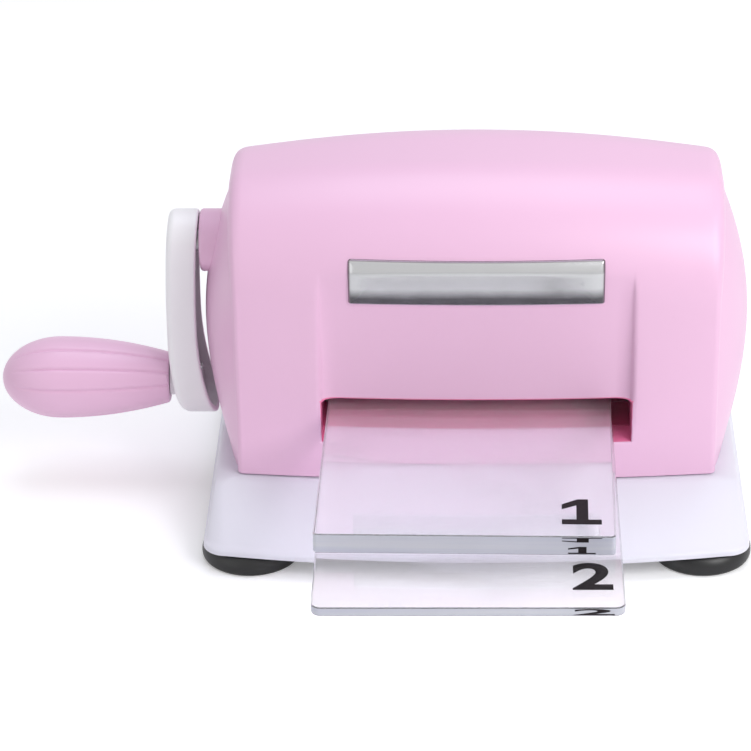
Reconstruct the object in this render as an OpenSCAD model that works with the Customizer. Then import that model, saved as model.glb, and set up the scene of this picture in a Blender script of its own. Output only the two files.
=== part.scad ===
// Hand-cranked die cutting machine: a crowned housing with domed ends on a white base with
// suction cups, two geared rollers between side frames, a crank with a free-turning handle
// and two clear cutting plates lying in the feed slot.
// +X is to the right, +Y to the rear and +Z up. The origin is on the table, midway between
// the suction cups. The crank is on the -X end and the feed slot runs along Y.

/* [Cutting plates] */
// Width of the lower plate
thin_w = 95; // [80:1:95]
// Width of the upper plate
thick_w = 93.6; // [80:0.2:94]
// Length of the plates
plate_l = 152; // [140:1:200]
// Thickness of the lower plate
thin_t = 3; // [2:0.1:4]
// Thickness of the upper plate
thick_t = 6.8; // [5:0.1:8]
// How far the lower plate stands out in front of the rollers
thin_out = 150; // [80:1:150]
// How far the upper plate stands out in front of the rollers
thick_out = 119.5; // [60:0.5:120]
// Sideways offset of both plates from the middle of the slot
plate_shift = -2.5; // [-2.5:0.5:2.5]
// Angle that the upper plate lies askew
plate_skew = -1; // [-1:0.25:1]
// Gap on each side of a plate in the nip
plate_gap = 0.2; // [0.1:0.05:0.4]
// Height of the underside of the lower plate
feed_z = 36; // [34:0.5:38]

/* [Rollers and gears] */
// Diameter of both rollers
roller_d = 20; // [16:0.5:21]
// Length of the roller barrels
roller_l = 102; // [98:1:103]
// Diameter of the roller journals
journal_d = 10; // [8:0.5:10]
// Radial running clearance of shafts in their bushes
run_fit = 0.03; // [0.01:0.01:0.08]
// Radial clearance of pieces that are pushed together
push_fit = 0.02; // [0.01:0.01:0.05]
// Teeth on each of the two gears that join the rollers
sync_teeth = 19; // [17:1:23]
// Teeth on the gear that drives the upper roller
drive_teeth = 32; // [28:1:32]
// Teeth on the crank pinion
pinion_teeth = 12; // [12:1:14]
// Module of the drive gear and the pinion
drive_module = 1.5; // [1.3:0.05:1.5]
// Pressure angle of all gears
pressure_angle = 25; // [25:1:27]
// Thinning of each tooth that leaves the backlash
tooth_play = 0.14; // [0.08:0.02:0.2]
// Face width of the drive gear
drive_face = 8; // [6:0.5:8]
// Face width of the gears that join the rollers
sync_face = 6; // [5:0.5:7]

/* [Side frames] */
// Distance between the two side frames
frame_gap = 106; // [104:1:107]
// Thickness of a side frame
frame_t = 4; // [3:0.5:4.5]
// Half the depth of a side frame
frame_half_d = 26; // [24:0.5:27]
// Diameter of a tie rod
rod_d = 6; // [5:0.5:7]

/* [Crank] */
// Diameter of the crank shaft
shaft_d = 8; // [7:0.5:8.5]
// Distance from the crank shaft to the handle's axis
crank_r = 52; // [40:1:52]
// Width of the crank arm
arm_w = 22; // [20:0.5:24]
// Thickness of the crank arm at its hub
arm_t = 11.3; // [10:0.1:13]
// Wall of the hollow crank arm
arm_wall = 2.2; // [1.6:0.1:2.6]
// Radius of the bend that follows the domed end
arm_bend_r = 105; // [95:1:140]
// Length of the handle
handle_l = 57.2; // [45:0.2:70]
// Largest diameter of the handle
handle_d = 27.8; // [22:0.2:32]
// Diameter of the handle at the arm
handle_end_d = 17; // [14:0.5:20]
// Number of grooves along the handle
flutes = 10; // [8:1:12]
// Diameter of the handle's spindle
spindle_d = 6; // [5:0.5:7]

/* [Housing] */
// Width of the middle cover
cover_w = 156; // [152:1:170]
// Depth of the middle cover at its middle
cover_d = 85; // [80:1:96]
// Height of the top of the housing
cover_top = 122.4; // [120:0.2:140]
// How much less deep each face is at the ends
front_crown = 3.5; // [1:0.5:5]
// How much lower the top is at the ends
top_crown = 5.5; // [2:0.5:7]
// Radius of the long rounded shoulders
shoulder_r = 34; // [24:1:38]
// Radius of the rim at each end of the middle cover
rim_r = 2; // [1:0.5:2]
// Wall of the covers
cover_wall = 2.8; // [2.6:0.1:3.2]
// How far the end covers bulge outwards
end_bulge = 14; // [10:0.5:14]
// Gap between a cover and the piece that it fits round
cover_fit = 0.15; // [0.1:0.05:0.3]
// Width of the feed slot
slot_w = 102.4; // [102:0.2:104]
// Height of the slot's lower lip
slot_lip_z = 34.6; // [32:0.1:35.5]
// Height of the slot's upper edge
slot_top_z = 50.6; // [50.4:0.1:54]
// Depth of the slot's inner lining
slot_lining = 13; // [6:0.5:16]
// Depth of the panel recess at the slot
recess = 4; // [2:0.5:5]
// Height at which the recess runs out
recess_top_z = 97.5; // [90:0.5:104]
// Width of the label above the slot
label_w = 82; // [60:1:90]
// Height of the label, along the curve
label_h = 15; // [10:0.5:18]
// Thickness of the label
label_t = 1.3; // [0.8:0.1:2]

/* [Base] */
// Width of the base
base_w = 180; // [178:1:200]
// Depth of the base at its middle
base_d = 143; // [136:1:170]
// How much less deep the base is at the corners
base_crown = 5; // [2:0.5:8]
// Corner radius of the base
base_corner = 16; // [10:0.5:20]
// Height of the base's top, where the housing stands
base_top_z = 22; // [20:0.5:24]
// Height of the upright rim round the base
base_rim_h = 2.2; // [1.5:0.1:4]
// Wall of the base shell
base_wall = 2.5; // [2:0.1:3]
// Diameter of a suction cup
cup_d = 33; // [26:0.5:36]
// Height of the base above the table
cup_h = 6.5; // [5:0.5:8]

/* [Hidden] */
$fn = 64;

pink = [0.91, 0.72, 0.85];
white = [0.95, 0.95, 0.97];
steel = [0.72, 0.73, 0.75];
bronze = [0.72, 0.53, 0.30];
nylon = [0.88, 0.87, 0.82];
rubber = [0.07, 0.07, 0.07];
acrylic = [0.87, 0.87, 0.92, 0.45];
eps = 0.01;
slice = 0.4;
deg = 180 / PI;

// Heights and axes that follow from the plates in the nip
roller_r = roller_d / 2;
journal_r = journal_d / 2;
nip = thin_t + thick_t + 3 * plate_gap;
axis_gap = roller_d + nip;
lower_z = feed_z - plate_gap - roller_r;
upper_z = lower_z + axis_gap;
thick_z = feed_z + thin_t + plate_gap;
sync_module = axis_gap / sync_teeth;
drive_r = drive_module * drive_teeth / 2;
pinion_r = drive_module * pinion_teeth / 2;
crank_z = upper_z + drive_r + pinion_r;
handle_z = crank_z - crank_r;

// Stations along X, measured from the middle
frame_in = frame_gap / 2;
frame_out = frame_in + frame_t;
gear_in = frame_out + 4;
bush_flange_t = 1.2;
bush_wall = 2;
bush_r = journal_r + run_fit + bush_wall;
crank_bush_r = shaft_d / 2 + run_fit + 1.5;
clip_t = 0.8;
clip_play = 0.1;
clip_groove = 0.6;
flat_cut = 0.8;

// Screws and the places they go
screw_r = 1.5;
screw_head_r = 3;
screw_head_h = 2;
screw_hole_r = screw_r + 0.2;
pilot_r = screw_r + push_fit;
rod_places = [[-18, 16], [18, 16], [-18, 72], [18, 72]];
post_places = [[-22, 30], [22, 30], [-21, 86], [21, 86]];
post_r = 3.6;
foot_places = [-20, 20];
foot_w = 9;
foot_t = 3;
foot_half = 6;

// Housing
half_w = cover_w / 2;
end_d = cover_d / 2 - front_crown - cover_wall - cover_fit;
end_top = cover_top - top_crown - cover_wall - cover_fit;
end_r = shoulder_r - cover_wall - cover_fit;
dome_start = half_w - 0.7;
dome_skirt = 6;
dome_mid_z = 63;
dome_fall_low = 60;
dome_fall_high = 55;
dome_apex = dome_start + end_bulge;
cover_post = [61, 34.6];
cover_post_h = 18;
label_gap = 0.05;

// Base
plate_sheet_t = 1.5;
well = [70, 29];
well_wall = 2.2;
sheet_top = cup_h + plate_sheet_t;
sheet_screw = [76, 26];
cup_x = base_w / 2 - cup_d / 2 + 1;
cup_y = base_d / 2 - cup_d / 2 - 1.8;
cup_neck_r = 4;
cup_bulb_r = 4.9;
cup_floor_t = 2.5;

// Crank
hub_r = 9.9;
hub_end = dome_apex + 0.7;
arm_rim = hub_end + 1.1;
arm_face = arm_rim + arm_t;
arm_bend_z = handle_z + 18;
rim_bend_z = arm_bend_z + 5;
rim_bend_r = arm_bend_r - 10;
arm_screw_r = 5.4;
arm_pocket = 2.6;
shaft_end = arm_face - arm_pocket - 2.4;
spot_face = arm_face - 2;
collar_t = 1.8;
handle_start = spot_face + collar_t + 0.2;
handle_tip = handle_start + handle_l;
tip_l = 20;
spindle_seat = arm_rim + 2.4;
spindle_end = handle_tip - 11.5;

// ---------- shared shapes ----------

// Moves a piece drawn along +Z so that it lies along X, its drawing's x and y being Y and Z
module along_x(x, y = 0, z = 0) {
    translate([x, y, z]) rotate([90, 0, 90]) children();
}

// Round bar from x0 to x1 with its axis at y, z
module bar_x(r, x0, x1, y = 0, z = 0) {
    along_x(min(x0, x1), y, z) cylinder(r = r, h = abs(x1 - x0));
}

// Tube from x0 to x1 with its axis at y, z
module tube_x(r_out, r_in, x0, x1, y = 0, z = 0) {
    difference() {
        bar_x(r_out, x0, x1, y, z);
        bar_x(r_in, min(x0, x1) - 1, max(x0, x1) + 1, y, z);
    }
}

// Round bar with one flat, for a driven seat
module d_bar_x(r, x0, x1, z) {
    intersection() {
        bar_x(r, x0, x1, 0, z);
        translate([min(x0, x1) - 1, -r - 1, z - r - 1])
            cube([abs(x1 - x0) + 2, 2 * r + 2, 2 * r + 1 - flat_cut]);
    }
}

// Pan-head screw that points up from the underside of its head
module screw_up(length, r = screw_r) {
    difference() {
        union() {
            translate([0, 0, -screw_head_h]) cylinder(r = screw_head_r, h = screw_head_h);
            cylinder(r = r, h = length);
        }
        for (turn = [0, 90])
            rotate(turn) translate([-1.8, -0.4, -screw_head_h - eps]) cube([3.6, 0.8, 1.2]);
    }
}

// Box with its upright edges rounded, centred on X and Y
module round_box(w, d, h, r) {
    for (sx = [-1, 1], sy = [-1, 1])
        translate([sx * (w / 2 - r), sy * (d / 2 - r), 0]) cylinder(r = r, h = h);
    translate([-w / 2 + r, -d / 2, 0]) cube([w - 2 * r, d, h]);
    translate([-w / 2, -d / 2 + r, 0]) cube([w, d - 2 * r, h]);
}

// ---------- gears ----------

function involute(a) = tan(a) * deg - a;

// Half the angle that a tooth takes up at radius r
function tooth_half(r, base_r, pitch_r, teeth) =
    90 / teeth - tooth_play / 2 / pitch_r * deg
    + involute(pressure_angle) - involute(acos(min(1, base_r / r)));

// Outline of one tooth from root to tip and back, centred on the given direction
function tooth(dir, teeth, mod, steps = 4) =
    let (pitch_r = teeth * mod / 2,
         base_r = pitch_r * cos(pressure_angle),
         root_r = pitch_r - 1.25 * mod,
         start_r = max(base_r, root_r),
         tip_r = pitch_r + mod,
         radii = [for (i = [0:steps]) start_r + (tip_r - start_r) * i / steps],
         foot = tooth_half(start_r, base_r, pitch_r, teeth),
         up = [for (r = radii) [r, -tooth_half(r, base_r, pitch_r, teeth)]],
         down = [for (i = [steps:-1:0]) [up[i][0], -up[i][1]]],
         polar = concat([[root_r, -foot]], up, down, [[root_r, foot]]))
    [for (p = polar) p[0] * [cos(dir + p[1]), sin(dir + p[1])]];

// Spur gear from x0 outwards along X with a tooth in the given direction, a recessed web,
// a raised hub towards x0 and a bore with one flat
module gear_x(teeth, mod, x0, face, z, dir, bore_r, hub = 0, side = 1, holes = 0) {
    outline = [for (i = [0:teeth - 1]) each tooth(dir + 360 * i / teeth, teeth, mod)];
    root_r = teeth * mod / 2 - 1.25 * mod;
    rim_r = root_r - 2;
    hub_out_r = bore_r + 3;
    x_low = side > 0 ? x0 : x0 - face;
    difference() {
        union() {
            along_x(x_low, 0, z) linear_extrude(face) polygon(outline);
            if (hub > 0) bar_x(hub_out_r, x0 - side * hub, x0 + side * eps, 0, z);
        }
        if (rim_r > hub_out_r + 3)
            for (x = [x_low - 1, x_low + face - 1.5])
                tube_x(rim_r, hub_out_r, x, x + 2.5, 0, z);
        d_bar_x(bore_r + push_fit, x0 - side * (hub + 1), x0 + side * (face + 1), z);
        for (i = [0:1:holes - 1])
            along_x(x_low - 1, 0, z) rotate(360 * i / holes)
                translate([(rim_r + hub_out_r) / 2, 0, 0]) cylinder(r = 3, h = face + 2);
    }
}

// ---------- housing ----------

// Half depth and top of the housing at a distance x from the middle
function depth_at(x) = cover_d / 2 - front_crown * pow(x / half_w, 2);
function top_at(x) = cover_top - top_crown * pow(x / half_w, 2);

// Upright section of the housing at x, drawn inwards by inset and down to z_low
function housing_section(x, inset, z_low) =
    let (d = depth_at(x) - inset, t = top_at(x) - inset, r = shoulder_r - inset)
    concat([[-d, z_low]],
           [for (a = [180:-9:90]) [-d + r + r * cos(a), t - r + r * sin(a)]],
           [for (a = [90:-9:0]) [d - r + r * cos(a), t - r + r * sin(a)]],
           [[d, z_low]]);

// Solid crowned form of the housing, with round rims where rim is above 0
module housing_form(inset, reach, z_low, rim = 0) {
    middle = reach - rim;
    stations = concat(
        [for (i = [-6:6]) [i / 6 * middle, inset]],
        [for (side = [-1, 1], a = [30:30:90])
            [side * (middle + rim * sin(a)), inset + rim * (1 - cos(a))]]);
    hull()
        for (s = stations)
            along_x(s[0] - (s[0] > 0 ? slice : 0)) linear_extrude(slice)
                polygon(housing_section(s[0], s[1], z_low));
}

// Leaning slab whose front face is the panel above the feed slot
module panel(thickness, w) {
    run = depth_at(0) - shoulder_r
        + sqrt(pow(shoulder_r, 2) - pow(recess_top_z - cover_top + shoulder_r, 2));
    low_y = depth_at(0) - recess;
    rise = recess_top_z - slot_top_z;
    lean = atan((run - low_y) / rise);
    translate([-w / 2, -low_y, slot_top_z]) rotate([lean, 0, 0])
        translate([0, thickness > 0 ? 0 : -30, thickness > 0 ? -3 : 0])
            cube([w, thickness > 0 ? thickness : 30, rise / cos(lean) + (thickness > 0 ? 3 : 0)]);
}

// Lining of the feed slot, from the outside to slot_lining behind it
module slot_lining_block() {
    outer_w = slot_w + 2 * cover_wall;
    translate([-outer_w / 2, -cover_d / 2, slot_lip_z - cover_wall])
        cube([outer_w, slot_lining, slot_top_z - slot_lip_z + 2 * cover_wall]);
}

module slot_hole() {
    translate([-slot_w / 2, -cover_d / 2 - 1, slot_lip_z])
        cube([slot_w, slot_lining + 2, slot_top_z - slot_lip_z]);
}

module front_and_rear() {
    children();
    mirror([0, 1, 0]) children();
}

module center_cover() {
    color(pink) difference() {
        intersection() {
            union() {
                difference() {
                    housing_form(0, half_w, base_top_z, rim_r);
                    housing_form(cover_wall, half_w + 1, base_top_z - 1);
                }
                front_and_rear() {
                    panel(cover_wall, slot_w + 2 * cover_wall);
                    slot_lining_block();
                    for (sx = [-1, 1])
                        translate([sx * cover_post[0], -cover_post[1], base_top_z])
                            cylinder(r = post_r, h = cover_post_h);
                }
            }
            housing_form(0, half_w, base_top_z, rim_r);
        }
        front_and_rear() {
            panel(0, slot_w);
            slot_hole();
            for (sx = [-1, 1])
                translate([sx * cover_post[0], -cover_post[1], base_top_z - 1])
                    cylinder(r = pilot_r, h = cover_post_h - 2);
        }
    }
}

// Half depth of the opening at the end of the middle cover, drawn inwards by inset
function end_depth(z, inset) =
    let (d = end_d - inset, r = end_r - inset, rise = z - (end_top - end_r))
    rise <= 0 ? d : d - r + sqrt(max(0, r * r - rise * rise));

// Height of the dome over the end's plane, along the middle line
function dome_height(z) =
    end_bulge * (1 - pow((z - dome_mid_z) / (z < dome_mid_z ? dome_fall_low : dome_fall_high), 2));

// Level section of an end cover, on the +X side
function dome_section(z, inset) =
    let (d = end_depth(z, inset), h = dome_height(z))
    concat([[half_w - dome_skirt - inset, -d]],
           [for (i = [-8:8]) [dome_start - inset + h * (1 - pow(i / 8, 2)), d * i / 8]],
           [[half_w - dome_skirt - inset, d]]);

// Solid form of an end cover on the +X side
module dome_form(inset, z_low) {
    z_arc = end_top - end_r;
    heights = concat(
        [z_low],
        [for (i = [1:7]) base_top_z + (z_arc - base_top_z) * i / 7],
        [for (a = [15:15:90]) z_arc + (end_r - inset) * sin(a)]);
    hull()
        for (z = heights)
            translate([0, 0, z > dome_mid_z ? z - slice : z]) linear_extrude(slice)
                polygon(dome_section(z, inset));
}

// Shell of an end cover with the posts that its screws go into, on the +X side
module end_cover_shell() {
    difference() {
        union() {
            difference() {
                dome_form(0, base_top_z);
                dome_form(cover_wall, base_top_z - 1);
            }
            for (p = post_places) bar_x(post_r, frame_out, half_w + 4, p[0], p[1]);
        }
        for (p = post_places) bar_x(pilot_r, frame_out - 1, frame_out + 12, p[0], p[1]);
    }
}

module end_cover_right() {
    color(pink) end_cover_shell();
}

module end_cover_left() {
    color(pink) difference() {
        union() {
            mirror([1, 0, 0]) end_cover_shell();
            bar_x(hub_r, -hub_end, -half_w - 1, 0, crank_z);
        }
        bar_x(crank_bush_r + push_fit, -hub_end - 1, -half_w, 0, crank_z);
        bar_x(crank_bush_r + 1.5 + push_fit, -hub_end - 1, -hub_end + bush_flange_t + 0.3, 0, crank_z);
    }
}

// The cover's front face raised outwards by lift, with the panel above the slot
module raised_face(lift, reach, z_low) {
    difference() {
        housing_form(-lift, reach, z_low);
        translate([0, -lift, 0]) panel(0, slot_w);
    }
}

// Domed label that follows the curve of the shoulder above the slot
module label_plate() {
    start_z = cover_top - shoulder_r - 1;
    reach = label_w / 2 + 6;
    color([0.78, 0.79, 0.80]) intersection() {
        difference() {
            raised_face(label_t, reach, start_z - 20);
            raised_face(label_gap, reach, start_z - 22);
        }
        translate([-label_w / 2, -cover_d, start_z]) cube([label_w, cover_d, label_h * 0.97]);
    }
}

// ---------- base ----------

// Outline with bowed front and rear and round corners
function bowed_rect(w, d, crown, r) =
    let (a = w / 2 - r, b = d / 2 - crown - r,
         bow = [for (i = [-6:6]) [i / 6 * a, -(d / 2 - crown * pow(i / 6, 2))]],
         left = [for (t = [180:15:255]) [-a + r * cos(t), -b + r * sin(t)]],
         right = [for (t = [-75:15:-15]) [a + r * cos(t), -b + r * sin(t)]],
         front = concat(left, bow, right))
    concat(front, [for (p = front) -p]);

// Solid form of the base, drawn inwards by inset
module base_form(inset, z_low) {
    shoulder = 2.4;
    hull() {
        translate([0, 0, z_low]) linear_extrude(cup_h + base_rim_h - z_low)
            polygon(bowed_rect(base_w - 2 * inset, base_d - 2 * inset, base_crown, base_corner - inset));
        translate([0, 0, cup_h]) linear_extrude(base_top_z - shoulder - cup_h - inset)
            polygon(bowed_rect(base_w - 5 - 2 * inset, cover_d - 2 * inset, front_crown, 2));
        translate([0, 0, cup_h]) linear_extrude(base_top_z - cup_h - inset)
            polygon(bowed_rect(cover_w + 3 - inset, cover_d + 2 - inset, front_crown, 2));
    }
}

// Ribs, bosses and walls under the top of the base
module base_inside() {
    wall = [well[0] + well_wall, well[1] + well_wall];
    translate([-wall[0], -wall[1], sheet_top]) cube([2 * wall[0], 2 * wall[1], base_top_z]);
    for (x = [-54:27:54])
        translate([x - 0.9, -base_d / 2, sheet_top]) cube([1.8, base_d, base_top_z]);
    for (y = [-14, 14])
        translate([-base_w / 2, y - 0.9, sheet_top]) cube([base_w, 1.8, base_top_z]);
    for (sx = [-1, 1], sy = [-1, 1]) {
        translate([sx * sheet_screw[0], sy * sheet_screw[1], sheet_top]) cylinder(r = 4, h = base_top_z);
        translate([sx * cup_x, sy * cup_y, cup_h]) cylinder(r = cup_d / 2 - 2.5, h = cup_floor_t);
    }
}

module base_shell() {
    color(white) difference() {
        union() {
            difference() {
                base_form(0, cup_h);
                base_form(base_wall, cup_h - 1);
            }
            intersection() {
                base_form(0, cup_h);
                base_inside();
            }
        }
        translate([-well[0], -well[1], 0]) cube([2 * well[0], 2 * well[1], 2 * base_top_z]);
        for (sx = [-1, 1], sy = [-1, 1]) {
            translate([sx * cover_post[0], sy * cover_post[1], base_top_z - base_wall - 1])
                cylinder(r = screw_hole_r, h = base_wall + 2);
            translate([sx * sheet_screw[0], sy * sheet_screw[1], sheet_top - 1])
                cylinder(r = pilot_r, h = 9);
            translate([sx * cup_x, sy * cup_y, cup_h - 1])
                cylinder(r = cup_neck_r + push_fit, h = cup_floor_t + 2);
        }
    }
}

// Sheet under the mechanism that the side frames stand on
module base_plate() {
    color(steel) difference() {
        translate([0, 0, cup_h])
            round_box(2 * (sheet_screw[0] + 5), 2 * (well[1] + well_wall), plate_sheet_t, 4);
        for (sx = [-1, 1], sy = [-1, 1]) {
            translate([sx * sheet_screw[0], sy * sheet_screw[1], cup_h - 1])
                cylinder(r = screw_hole_r, h = plate_sheet_t + 2);
            translate([sx * (frame_out + foot_w / 2), foot_places[(sy + 1) / 2], cup_h - 1])
                cylinder(r = screw_hole_r, h = plate_sheet_t + 2);
        }
    }
}

// Rubber cup with a hollow underside, and a bulb that snaps through the base
module suction_cup(sx, sy) {
    r = cup_d / 2;
    color(rubber) translate([sx * cup_x, sy * cup_y, 0]) rotate_extrude()
        polygon([
            [0, 2.6], [r * 0.45, 2.3], [r * 0.75, 1.2], [r - 2.4, 0], [r - 1, 0],
            [r - 0.3, 0.6], [r, 1.8], [r - 0.1, 3.2], [r - 0.7, 4.6], [r - 1.7, 5.8],
            [r - 2.8, cup_h - 0.1], [r - 4, cup_h], [cup_neck_r, cup_h],
            [cup_neck_r, cup_h + cup_floor_t + 0.1], [cup_bulb_r, cup_h + cup_floor_t + 0.2],
            [cup_bulb_r, cup_h + cup_floor_t + 0.8], [cup_neck_r - 1, cup_h + cup_floor_t + 2.4],
            [0, cup_h + cup_floor_t + 2.4]]);
}

module suction_cup_front_left() { suction_cup(-1, -1); }
module suction_cup_front_right() { suction_cup(1, -1); }
module suction_cup_rear_left() { suction_cup(-1, 1); }
module suction_cup_rear_right() { suction_cup(1, 1); }

// ---------- side frames, rods and bushes ----------

// Side frame on the +X side, with a hole for the crank bush where crank is true
module side_frame(crank) {
    top = post_places[2][1] + 8;
    d = frame_half_d;
    difference() {
        union() {
            along_x(frame_in) linear_extrude(frame_t)
                polygon([[-d, sheet_top], [d, sheet_top], [d, top - 6], [d - 6, top],
                         [6 - d, top], [-d, top - 6]]);
            if (crank) bar_x(crank_bush_r + 6, frame_in, frame_out, 0, crank_z);
            for (y = foot_places)
                translate([frame_in, y - foot_half, sheet_top])
                    cube([frame_t + foot_w, 2 * foot_half, foot_t]);
        }
        for (z = [lower_z, upper_z]) bar_x(bush_r + push_fit, frame_in - 1, frame_out + 1, 0, z);
        if (crank) bar_x(crank_bush_r + push_fit, frame_in - 1, frame_out + 1, 0, crank_z);
        for (p = concat(rod_places, post_places))
            bar_x(screw_hole_r, frame_in - 1, frame_out + 1, p[0], p[1]);
        for (y = [-18, 18], z = [44, 58]) bar_x(4.5, frame_in - 1, frame_out + 1, y, z);
        for (y = foot_places)
            translate([frame_out + foot_w / 2, y, sheet_top - 1]) cylinder(r = pilot_r, h = foot_t + 2);
    }
}

module side_frame_left() { color(steel) mirror([1, 0, 0]) side_frame(true); }
module side_frame_right() { color(steel) side_frame(false); }

// Spacer rod between the frames, tapped at both ends
module tie_rod(i) {
    p = rod_places[i];
    color(steel) difference() {
        bar_x(rod_d / 2, -frame_in, frame_in, p[0], p[1]);
        for (side = [-1, 1])
            bar_x(pilot_r, side * (frame_in - 10), side * (frame_in + 1), p[0], p[1]);
    }
}

module tie_rod_lower_front() { tie_rod(0); }
module tie_rod_lower_rear() { tie_rod(1); }
module tie_rod_upper_front() { tie_rod(2); }
module tie_rod_upper_rear() { tie_rod(3); }

// Flanged bush in a side frame, its flange towards the rollers
module frame_bush(side, z, bore_r, out_r) {
    color(bronze) difference() {
        union() {
            bar_x(out_r, side * frame_in, side * frame_out, 0, z);
            bar_x(out_r + 1.5, side * (frame_in - bush_flange_t), side * frame_in, 0, z);
        }
        bar_x(bore_r + run_fit, side * (frame_in - 3), side * (frame_out + 1), 0, z);
    }
}

module bush_lower_left() { frame_bush(-1, lower_z, journal_r, bush_r); }
module bush_lower_right() { frame_bush(1, lower_z, journal_r, bush_r); }
module bush_upper_left() { frame_bush(-1, upper_z, journal_r, bush_r); }
module bush_upper_right() { frame_bush(1, upper_z, journal_r, bush_r); }
module crank_bush_inner() { frame_bush(-1, crank_z, shaft_d / 2, crank_bush_r); }

module crank_bush_outer() {
    color(bronze) difference() {
        union() {
            bar_x(crank_bush_r, -hub_end + bush_flange_t, -hub_end + 11, 0, crank_z);
            bar_x(crank_bush_r + 1.5, -hub_end + 0.3, -hub_end + 0.3 + bush_flange_t, 0, crank_z);
        }
        bar_x(shaft_d / 2 + run_fit, -hub_end - 1, -hub_end + 12, 0, crank_z);
    }
}

// ---------- rollers and gears ----------

// Place of the outer clip on each side of a roller
function clip_x(side, geared) =
    side * (geared == 0 ? frame_out + clip_play : gear_in + geared + clip_play);

// Roller with journals, flats for its gears and grooves for its clips
module roller(z, left_face, right_face) {
    faces = [left_face, right_face];
    color(steel) difference() {
        union() {
            bar_x(roller_r, -roller_l / 2, roller_l / 2, 0, z);
            for (i = [0, 1]) {
                side = 2 * i - 1;
                end = clip_x(side, faces[i]) + side * (clip_t + 1.2);
                bar_x(journal_r, 0, side * (frame_out + 0.2), 0, z);
                if (faces[i] > 0) d_bar_x(journal_r, side * frame_out, end, z);
                else bar_x(journal_r, side * frame_out, end, 0, z);
            }
        }
        for (i = [0, 1]) {
            x = clip_x(2 * i - 1, faces[i]);
            tube_x(journal_r + 1, journal_r - clip_groove, x, x + (2 * i - 1) * clip_t, 0, z);
        }
    }
}

// Open retaining ring in its groove
module clip(side, x, r, z) {
    color(steel) difference() {
        tube_x(r + 2, r - clip_groove + push_fit, x + side * 0.05, x + side * (clip_t - 0.05), 0, z);
        translate([min(x, x + side * clip_t) - 1, -1.5, z - r - 3]) cube([clip_t + 2, 3, r + 2]);
    }
}

module lower_roller() { roller(lower_z, 0, sync_face); }
module upper_roller() { roller(upper_z, drive_face, sync_face); }

module lower_roller_clips() {
    clip(-1, clip_x(-1, 0), journal_r, lower_z);
    clip(1, clip_x(1, sync_face), journal_r, lower_z);
}

module upper_roller_clips() {
    clip(-1, clip_x(-1, drive_face), journal_r, upper_z);
    clip(1, clip_x(1, sync_face), journal_r, upper_z);
}

module sync_gear_lower() {
    color(nylon) gear_x(sync_teeth, sync_module, gear_in, sync_face, lower_z,
                        90 + 180 / sync_teeth, journal_r, 3.6);
}

module sync_gear_upper() {
    color(nylon) gear_x(sync_teeth, sync_module, gear_in, sync_face, upper_z,
                        -90, journal_r, 3.6);
}

module drive_gear() {
    color(nylon) gear_x(drive_teeth, drive_module, -gear_in, drive_face, upper_z,
                        90 + 180 / drive_teeth, journal_r, 3.6, -1, 6);
}

module crank_pinion() {
    color(nylon) gear_x(pinion_teeth, drive_module, -gear_in, drive_face, crank_z,
                        -90, shaft_d / 2, 3.6, -1);
}

// ---------- crank ----------

module crank_shaft() {
    inner_end = frame_in - bush_flange_t - clip_t - clip_play - 1.2;
    clip_at = frame_in - bush_flange_t - clip_play;
    r = shaft_d / 2;
    color(steel) difference() {
        union() {
            bar_x(r, -inner_end, -frame_out - 0.2, 0, crank_z);
            d_bar_x(r, -frame_out, -gear_in - drive_face - 0.4, crank_z);
            bar_x(r, -gear_in - drive_face - 0.3, -arm_rim, 0, crank_z);
            d_bar_x(r, -arm_rim + eps, -shaft_end, crank_z);
        }
        tube_x(r + 1, r - clip_groove, -clip_at, -clip_at + clip_t, 0, crank_z);
        bar_x(2.5 + push_fit, -shaft_end - 1, -shaft_end + 12, 0, crank_z);
    }
}

module crank_shaft_clip() {
    clip(1, -(frame_in - bush_flange_t - clip_play), shaft_d / 2, crank_z);
}

// Side view of the arm between two faces: straight at the hub, then bent towards the base
module arm_band(face_in, face_out, w) {
    low = handle_z - arm_w / 2 - 1;
    high = crank_z + arm_w / 2 + 1;
    bend_out = [for (i = [0:10])
        let (z = arm_bend_z + (low - arm_bend_z) * i / 10)
        [-face_out + arm_bend_r - sqrt(pow(arm_bend_r, 2) - pow(z - arm_bend_z, 2)), z]];
    bend_in = [for (i = [10:-1:0])
        let (z = rim_bend_z + (low - rim_bend_z) * i / 10)
        [-face_in + rim_bend_r - sqrt(pow(rim_bend_r, 2) - pow(z - rim_bend_z, 2)), z]];
    translate([0, w / 2, 0]) rotate([90, 0, 0]) linear_extrude(w)
        polygon(concat([[-face_out, high]], bend_out, bend_in, [[-face_in, high]]));
}

// Front view of the arm, a bar with round ends
module arm_outline(r) {
    bar_x(r, -arm_face - 2, -arm_rim + 12, 0, crank_z);
    bar_x(r, -arm_face - 2, -arm_rim + 12, 0, handle_z);
    translate([-arm_face - 2, -r, handle_z]) cube([arm_t + 14, 2 * r, crank_r]);
}

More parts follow.
